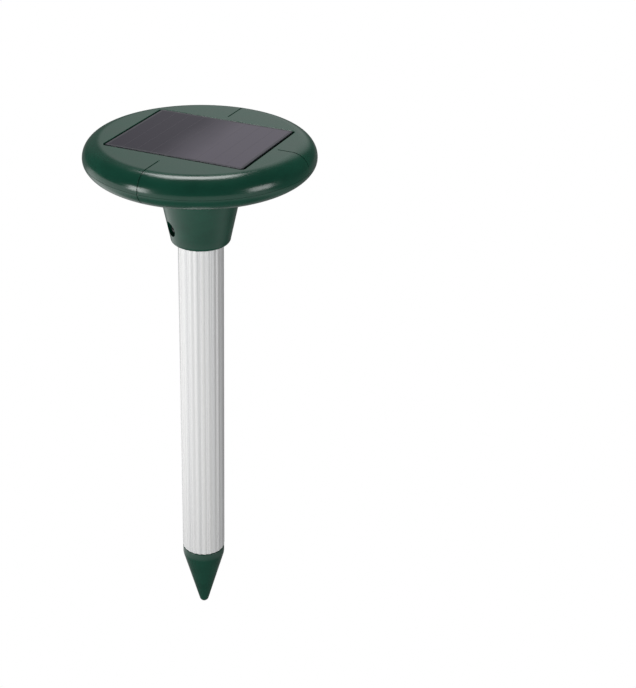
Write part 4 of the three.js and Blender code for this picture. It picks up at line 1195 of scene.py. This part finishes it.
tray_low, tray_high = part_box("battery_tray")
tray_half = plan_half("battery_tray")
tray_wall = 1.5 * mm
tray = block("cell_tray", "battery_tray", 0.8 * mm, 0.25 * mm)
trough = slab("trough", (tray_half[0] + 2 * mm, tray_half[1] - tray_wall), 0.6 * mm,
              tray_low.z + tray_wall, tray_high.z + 2 * mm, 0.3 * mm, plan_centre("battery_tray"))
boolean(tray, "DIFFERENCE", trough)
finish(smooth(tray, 30), black_plastic, "black_plastic", "stake", "battery_tray")

nickel = patchy("nickel_strip", (0.62, 0.6, 0.54), 0.28, 1.0, size=3 * mm, shift=0.08,
                speck=0.2 * mm, depth=0.002 * mm)


def cell_sleeve():
    """A green shrink sleeve with a plain paler band round each end."""
    material, tree, shader, place = new_material("cell_sleeve", (0.10, 0.28, 0.07), 0.32)
    flow = grain(tree, place, 9 * mm, 3)
    tone = shade_between(tree, flow, (0.09, 0.25, 0.06), (0.115, 0.31, 0.08))
    length = node(tree, "SeparateXYZ", {0: place}).outputs[0]
    off_centre = arithmetic(tree, "ABSOLUTE", length)
    band = number_between(tree, off_centre, 0.0, 1.0, 15.6 * mm, 16.0 * mm)
    banded = painted(tree, band, tone, (0.62, 0.64, 0.6, 1))
    tree.links.new(banded, shader.inputs["Base Color"])
    relief(tree, shader, grain(tree, place, 0.7 * mm, 2), 0.004 * mm)
    return material


sleeve = cell_sleeve()
for number, node_name in enumerate(("battery_cell_1", "battery_cell_2")):
    low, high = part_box(node_name)
    middle = node_middle(node_name)
    half, radius = (high.x - low.x) / 2, (high.z - low.z) / 2
    nub = 1.4 * mm
    cell_profile = eased([
        (0, -half), (radius * 0.72, -half), (radius * 0.76, -half + 0.25 * mm),
        (radius * 0.82, -half + 0.05 * mm), (radius - 0.3 * mm, -half), (radius, -half + 0.5 * mm),
        (radius, half - nub - 0.7 * mm), (radius - 0.5 * mm, half - nub),
        (radius * 0.68, half - nub), (radius * 0.62, half - nub - 0.3 * mm),
        (2.6 * mm, half - nub - 0.2 * mm), (2.6 * mm, half - 0.2 * mm), (2.3 * mm, half), (0, half),
    ], 0.12 * mm)
    cell = smooth(turned(cell_profile, 72, name=f"rechargeable_cell_{number + 1}"), 40)
    side = -1 if number == 0 else 1
    cell.data.transform(
        Matrix.Translation(middle) @ Matrix.Rotation(side * math.pi / 2, 4, "Y")
    )
    finish(cell, sleeve, "cell_sleeve", "stake", node_name)
    cell.data.materials.append(nickel)
    places = np.empty(len(cell.data.polygons) * 3)
    cell.data.polygons.foreach_get("center", places)
    offset = places.reshape(-1, 3) - np.array(middle)
    bare = np.hypot(offset[:, 1], offset[:, 2]) < radius * 0.8
    cell.data.polygons.foreach_set("material_index", bare.astype(np.int32))

for name in ("cell_link", "cell_tab_pos", "cell_tab_neg"):
    low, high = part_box(name)
    middle = node_middle(name)
    half = ((high.y - low.y) / 2, (high.z - low.z) / 2)
    strip = slab(name.replace("cell", "nickel"), half, 0.6 * mm, low.x - middle.x,
                 high.x - middle.x, 0.05 * mm)
    upright = Matrix(((0, 0, 1), (1, 0, 0), (0, 1, 0))).to_4x4()  # lays the strip's face across X
    strip.data.transform(Matrix.Translation(middle) @ upright)
    finish(smooth(strip, 35), nickel, "nickel", "stake", name)

strap_low, strap_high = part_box("battery_strap")
strap_thick = 1.4 * mm
strap_width = strap_high.y - strap_low.y
strap_foot = 6.6 * mm
strap_y = node_middle("battery_strap").y
strap_side = strap_high.x - strap_foot - strap_thick / 2
foot_level = strap_low.z + strap_thick / 2
strap_level = strap_high.z - strap_thick / 2
strap_path = eased([
    (-strap_high.x, strap_y, foot_level), (-strap_side, strap_y, foot_level),
    (-strap_side, strap_y, strap_level), (strap_side, strap_y, strap_level),
    (strap_side, strap_y, foot_level), (strap_high.x, strap_y, foot_level),
], 1.6 * mm, 8)
strap = swept("cell_strap", strap_path, bar_section(strap_thick, strap_width, 0.3 * mm), (0, 1, 0))
boolean(strap, "DIFFERENCE", *[
    peg(plan_centre(f"strap_screw_{i}"), small_pilot, strap_low.z - mm, strap_low.z + 3 * mm, 32)
    for i in (1, 2)
])
finish(smooth(strap, 30), black_plastic, "black_plastic", "stake", "battery_strap")

# ---- Sounder -------------------------------------------------------------------------------------
# A capsule held in the tube by two foam rings: a black case with a pierced cover, a steel yoke
# with its pole, a ring magnet, a copper coil, and a thin film diaphragm that moves with the coil.

case_low, case_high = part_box("sounder_case")
case_radius = case_high.x
case_bore = case_radius - mm
case_roof = case_high.z - 1.2 * mm
case_profile = [(0, case_roof), (case_bore, case_roof), (case_bore, case_low.z),
                (case_radius, case_low.z), (case_radius, case_high.z), (0, case_high.z)]
case = turned(eased(case_profile, 0.3 * mm), 72, name="capsule_case")
lead_x = 7 * mm  # where the twin lead leaves the case
lead_hole = 1.6 * mm
boolean(case, "DIFFERENCE", peg((lead_x, 0), lead_hole, case_roof - mm, case_high.z + mm, 32))
finish(smooth(case, 30), black_plastic, "black_plastic", "stake", "sounder_case")

cap_low, cap_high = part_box("sounder_cover")
cap = turned(eased([(0, cap_low.z), (cap_high.x, cap_low.z), (cap_high.x, cap_high.z),
                    (0, cap_high.z)], 0.2 * mm), 72, name="pierced_cover")
sound_holes = [(2.5 * mm, 0, 0)] + [
    (1.1 * mm, 6.5 * mm, turn) for turn in np.arange(6) * math.pi / 3
]
boolean(cap, "DIFFERENCE", *[
    peg((reach * math.cos(turn), reach * math.sin(turn)), radius, cap_low.z - mm,
        cap_high.z + mm, 24) for radius, reach, turn in sound_holes
])
finish(smooth(cap, 30), black_plastic, "black_plastic", "stake", "sounder_cover")

steel = patchy("yoke_steel", (0.5, 0.5, 0.51), 0.34, 1.0, size=3 * mm, shift=0.1, speck=0.3 * mm,
               depth=0.004 * mm)
yoke_low, yoke_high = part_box("sounder_yoke")
yoke_disc = yoke_high.z - 1.5 * mm
pole_radius = 3.5 * mm
yoke_profile = [(0, yoke_low.z), (pole_radius, yoke_low.z), (pole_radius, yoke_disc),
                (yoke_high.x, yoke_disc), (yoke_high.x, yoke_high.z), (0, yoke_high.z)]
turned_piece("pole_yoke", yoke_profile, (0, 0), steel, "steel", "stake", "sounder_yoke")


def ring_profile(node_name, bore):
    """A ring's section: up the outside from the bore's lower edge and back, closed on itself."""
    low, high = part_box(node_name)
    return [(bore, (low.z + high.z) / 2), (bore, low.z), (high.x, low.z), (high.x, high.z),
            (bore, high.z), (bore, (low.z + high.z) / 2 + 0.01 * mm)]


magnet_bore = 4.9 * mm
foam_bore = 13.2 * mm
turned_piece("ring_magnet", ring_profile("sounder_magnet", magnet_bore), (0, 0), ferrite,
             "ferrite", "stake", "sounder_magnet", ease=0.3 * mm)
for name in ("lower", "upper"):
    turned_piece(f"foam_collar_{name}", ring_profile(f"sounder_foam_{name}", foam_bore), (0, 0),
                 foam_black, "foam", "stake", f"sounder_foam_{name}", 72, 0.5 * mm)

coil_low, coil_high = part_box("voice_coil")
copper = patchy("enamelled_copper", (0.62, 0.25, 0.11), 0.3, 1.0, size=1.2 * mm, shift=0.15,
                speck=0.2 * mm, depth=0.003 * mm)
coil_bore = 3.8 * mm
wire_turns = 22
wound = np.linspace(0, 1, wire_turns * 8 + 1)[:, None]
dip = 0.12 * mm * (1 - np.abs(np.sin(wound * wire_turns * math.pi)))
coil_outside = np.hstack([coil_high.x - dip, coil_low.z + wound * (coil_high.z - coil_low.z)])
coil_profile = np.vstack([[(coil_bore, coil_low.z)], coil_outside, [(coil_bore, coil_high.z)]])
coil = smooth(turned(coil_profile, 64, name="wound_coil"), 40)
finish(coil, copper, "copper", "sounder_cone", "voice_coil")

film = patchy("cone_film", (0.58, 0.44, 0.2), 0.3, size=5 * mm, shift=0.08, speck=1 * mm)
film_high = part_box("sounder_diaphragm")[1]
film_half = 0.1 * mm
film_share = np.linspace(0, 1, 60)[:, None]
ripple = 0.09 * mm * np.sin(film_share * 9 * math.pi) * (film_share > 0.45)
dome = film_high.z - 0.35 * mm * film_share**2 - 0.13 * mm + ripple
sheet_profile = np.vstack([
    np.hstack([film_share * film_high.x, dome - film_half]),
    np.hstack([film_share * film_high.x, dome + film_half])[::-1],
])
cone = smooth(turned(sheet_profile, 96, name="film_cone"), 40)
finish(cone, film, "film", "sounder_cone", "sounder_diaphragm")

# ---- Grommet, leads and wires --------------------------------------------------------------------
# A rubber grommet lines the hole in the neck's roof. The sounder's twin lead runs up the tube
# through it to the board; single insulated wires join the cells and the panel to the board.

grommet_low, grommet_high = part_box("lead_grommet")
grommet_middle = (grommet_low.z + grommet_high.z) / 2
grommet_waist = 4.6 * mm
lip_low = grommet_high.z - 1.6 * mm
grommet_profile = [
    (lead_hole, grommet_middle), (lead_hole, grommet_low.z), (grommet_waist, grommet_low.z),
    (grommet_waist, lip_low), (grommet_high.x, lip_low), (grommet_high.x, grommet_high.z - 0.5 * mm),
    (grommet_high.x - 0.9 * mm, grommet_high.z), (lead_hole, grommet_high.z),
    (lead_hole, grommet_middle + 0.01 * mm),
]
turned_piece("neck_grommet", grommet_profile, (0, 0), black_rubber, "rubber", "stake",
             "lead_grommet", 64, 0.25 * mm)


path_step = 1.2 * mm


def laid_path(points):
    """A smooth curve through points in mm: between two of them a cubic that matches both slopes,
    where a point's slope is the mean of its sides' slopes, each weighted by the other's length."""
    points = np.asarray(points, float) * mm
    sides = np.diff(points, axis=0)
    length = np.linalg.norm(sides, axis=1)
    slope = sides / length[:, None]
    shared = (slope[:-1] * length[1:, None] + slope[1:] * length[:-1, None])
    shared /= (length[:-1] + length[1:])[:, None]
    tangent = np.vstack([slope[:1], shared, slope[-1:]])
    at = np.concatenate([[0], np.cumsum(length)])
    along_it = np.linspace(0, at[-1], int(at[-1] / path_step) + 2)
    piece = np.clip(np.searchsorted(at, along_it, "right") - 1, 0, len(length) - 1)
    span = length[piece][:, None]
    share = ((along_it - at[piece]) / length[piece])[:, None]
    square, cube = share**2, share**3
    leaving = (cube - 2 * square + share) * span * tangent[piece]
    arriving = (cube - square) * span * tangent[piece + 1]
    blend = 3 * square - 2 * cube
    return (1 - blend) * points[piece] + blend * points[piece + 1] + leaving + arriving


def insulated(name, colour):
    """Extruded insulation: even colour with a satin gloss and faint drag lines."""
    return patchy(name, colour, 0.38, size=3 * mm, shift=0.12, speck=0.3 * mm, depth=0.006 * mm)


insulation = {
    "wire_red": insulated("wire_red", (0.42, 0.016, 0.012)),
    "wire_black": insulated("wire_black", (0.016, 0.016, 0.018)),
}
across = np.linspace(0, 2 * math.pi, 25)[:-1]
round_section = np.stack([np.cos(across), np.sin(across)], -1)
wire_section = round_section * 0.7 * mm
core_radius, core_shift = 0.72 * mm, 0.58 * mm  # the twin lead's two cores side by side
lobe = core_shift * np.abs(np.cos(across))
lobe = lobe + np.sqrt(np.maximum(core_radius**2 - (core_shift * np.sin(across)) ** 2, 0))
twin_section = round_section * lobe[:, None]

# From here to the routes, places are in mm.
plug_height = node_middle("battery_plug").z / mm
lead_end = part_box("battery_plug")[1].y / mm + 0.4
pin_pos, pin_neg = -21.2, -18.8  # the battery plug's two pins
lead_foot = case_high.z / mm
roof_end = socket_top / mm
rise = roof_end - lead_foot
cell_height = node_middle("battery_cell_1").z / mm
neck_floor = inner_floor / mm
near_cell = node_middle("battery_cell_1").y / mm
far_cell = node_middle("battery_cell_2").y / mm
tab_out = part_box("cell_tab_pos")[0].x / mm - 1.1
strap_middle = strap_y / mm
board_edge = board_high.y / mm
pad_height = board_high.z / mm + 1
well_under = (well_bottom - pan_floor) / mm
wire_down = well_bottom / mm + 0.6

sounder_route = [
    (lead_x / mm, 0, lead_foot - 0.9), (lead_x / mm, 0, lead_foot + 6), (4, 1, lead_foot + 0.12 * rise),
    (2, 3, lead_foot + 0.35 * rise), (-2, 2, lead_foot + 0.58 * rise),
    (-1, -2, lead_foot + 0.81 * rise), (0, 0, roof_end - 12), (0, 0, roof_end - 4),
    (0, 0, roof_end + 4.4), (0, 0, roof_end + 10.4), (0, 1, neck_floor + 6),
    (0, 0, plug_height - 3), (0, -2.5, plug_height - 0.4), (0, lead_end, plug_height),
]
battery_pos_route = [
    (tab_out, near_cell, cell_height + 1), (tab_out, near_cell - 5, cell_height + 1),
    (tab_out + 1, near_cell - 11, cell_height + 2), (pin_pos - 1, 1, plug_height + 0.5),
    (pin_pos, -2, plug_height), (pin_pos, lead_end, plug_height),
]
loop_out = -(strap_high.x / mm + 2)
battery_neg_route = [
    (tab_out, far_cell, cell_height + 1), (tab_out - 1, far_cell + 5, cell_height + 1),
    (loop_out + 2, far_cell + 4, cell_height), (loop_out, strap_middle, cell_height - 1),
    (loop_out, strap_middle - 14, cell_height), (-29, 0, plug_height - 2.4),
    (pin_pos, -1.5, plug_height - 2.4), (pin_neg, -3, plug_height - 1),
    (pin_neg, lead_end, plug_height),
]


def panel_route(name):
    """A panel wire: down through the well's floor, back to the board's edge and onto its pad."""
    x = plan_centre(name)[0] / mm
    down = board_edge + 6
    return [(x, down, wire_down), (x, down, well_under - 2), (x, down + 0.6, well_under - 4.5),
            (x, down - 2, pad_height + 2), (x, board_edge - 1, pad_height),
            (x, board_edge - 5, pad_height)]


runs = [
    ("sounder_lead", "twin_lead", sounder_route, twin_section, (1, 0, 0), "wire_black"),
    ("battery_wire_pos", "cell_wire_red", battery_pos_route, wire_section, (0, 0, 1), "wire_red"),
    ("battery_wire_neg", "cell_wire_black", battery_neg_route, wire_section, (0, 0, 1), "wire_black"),
]
for end, tint in (("pos", "red"), ("neg", "black")):
    wire = f"panel_wire_{end}"
    runs.append((wire, f"panel_lead_{tint}", panel_route(wire), wire_section, (1, 0, 0), f"wire_{tint}"))
for node_name, name, points, section, upward, slot in runs:
    lead = smooth(swept(name, laid_path(points), section, upward), 50)
    finish(lead, insulation[slot], slot, "stake", node_name)
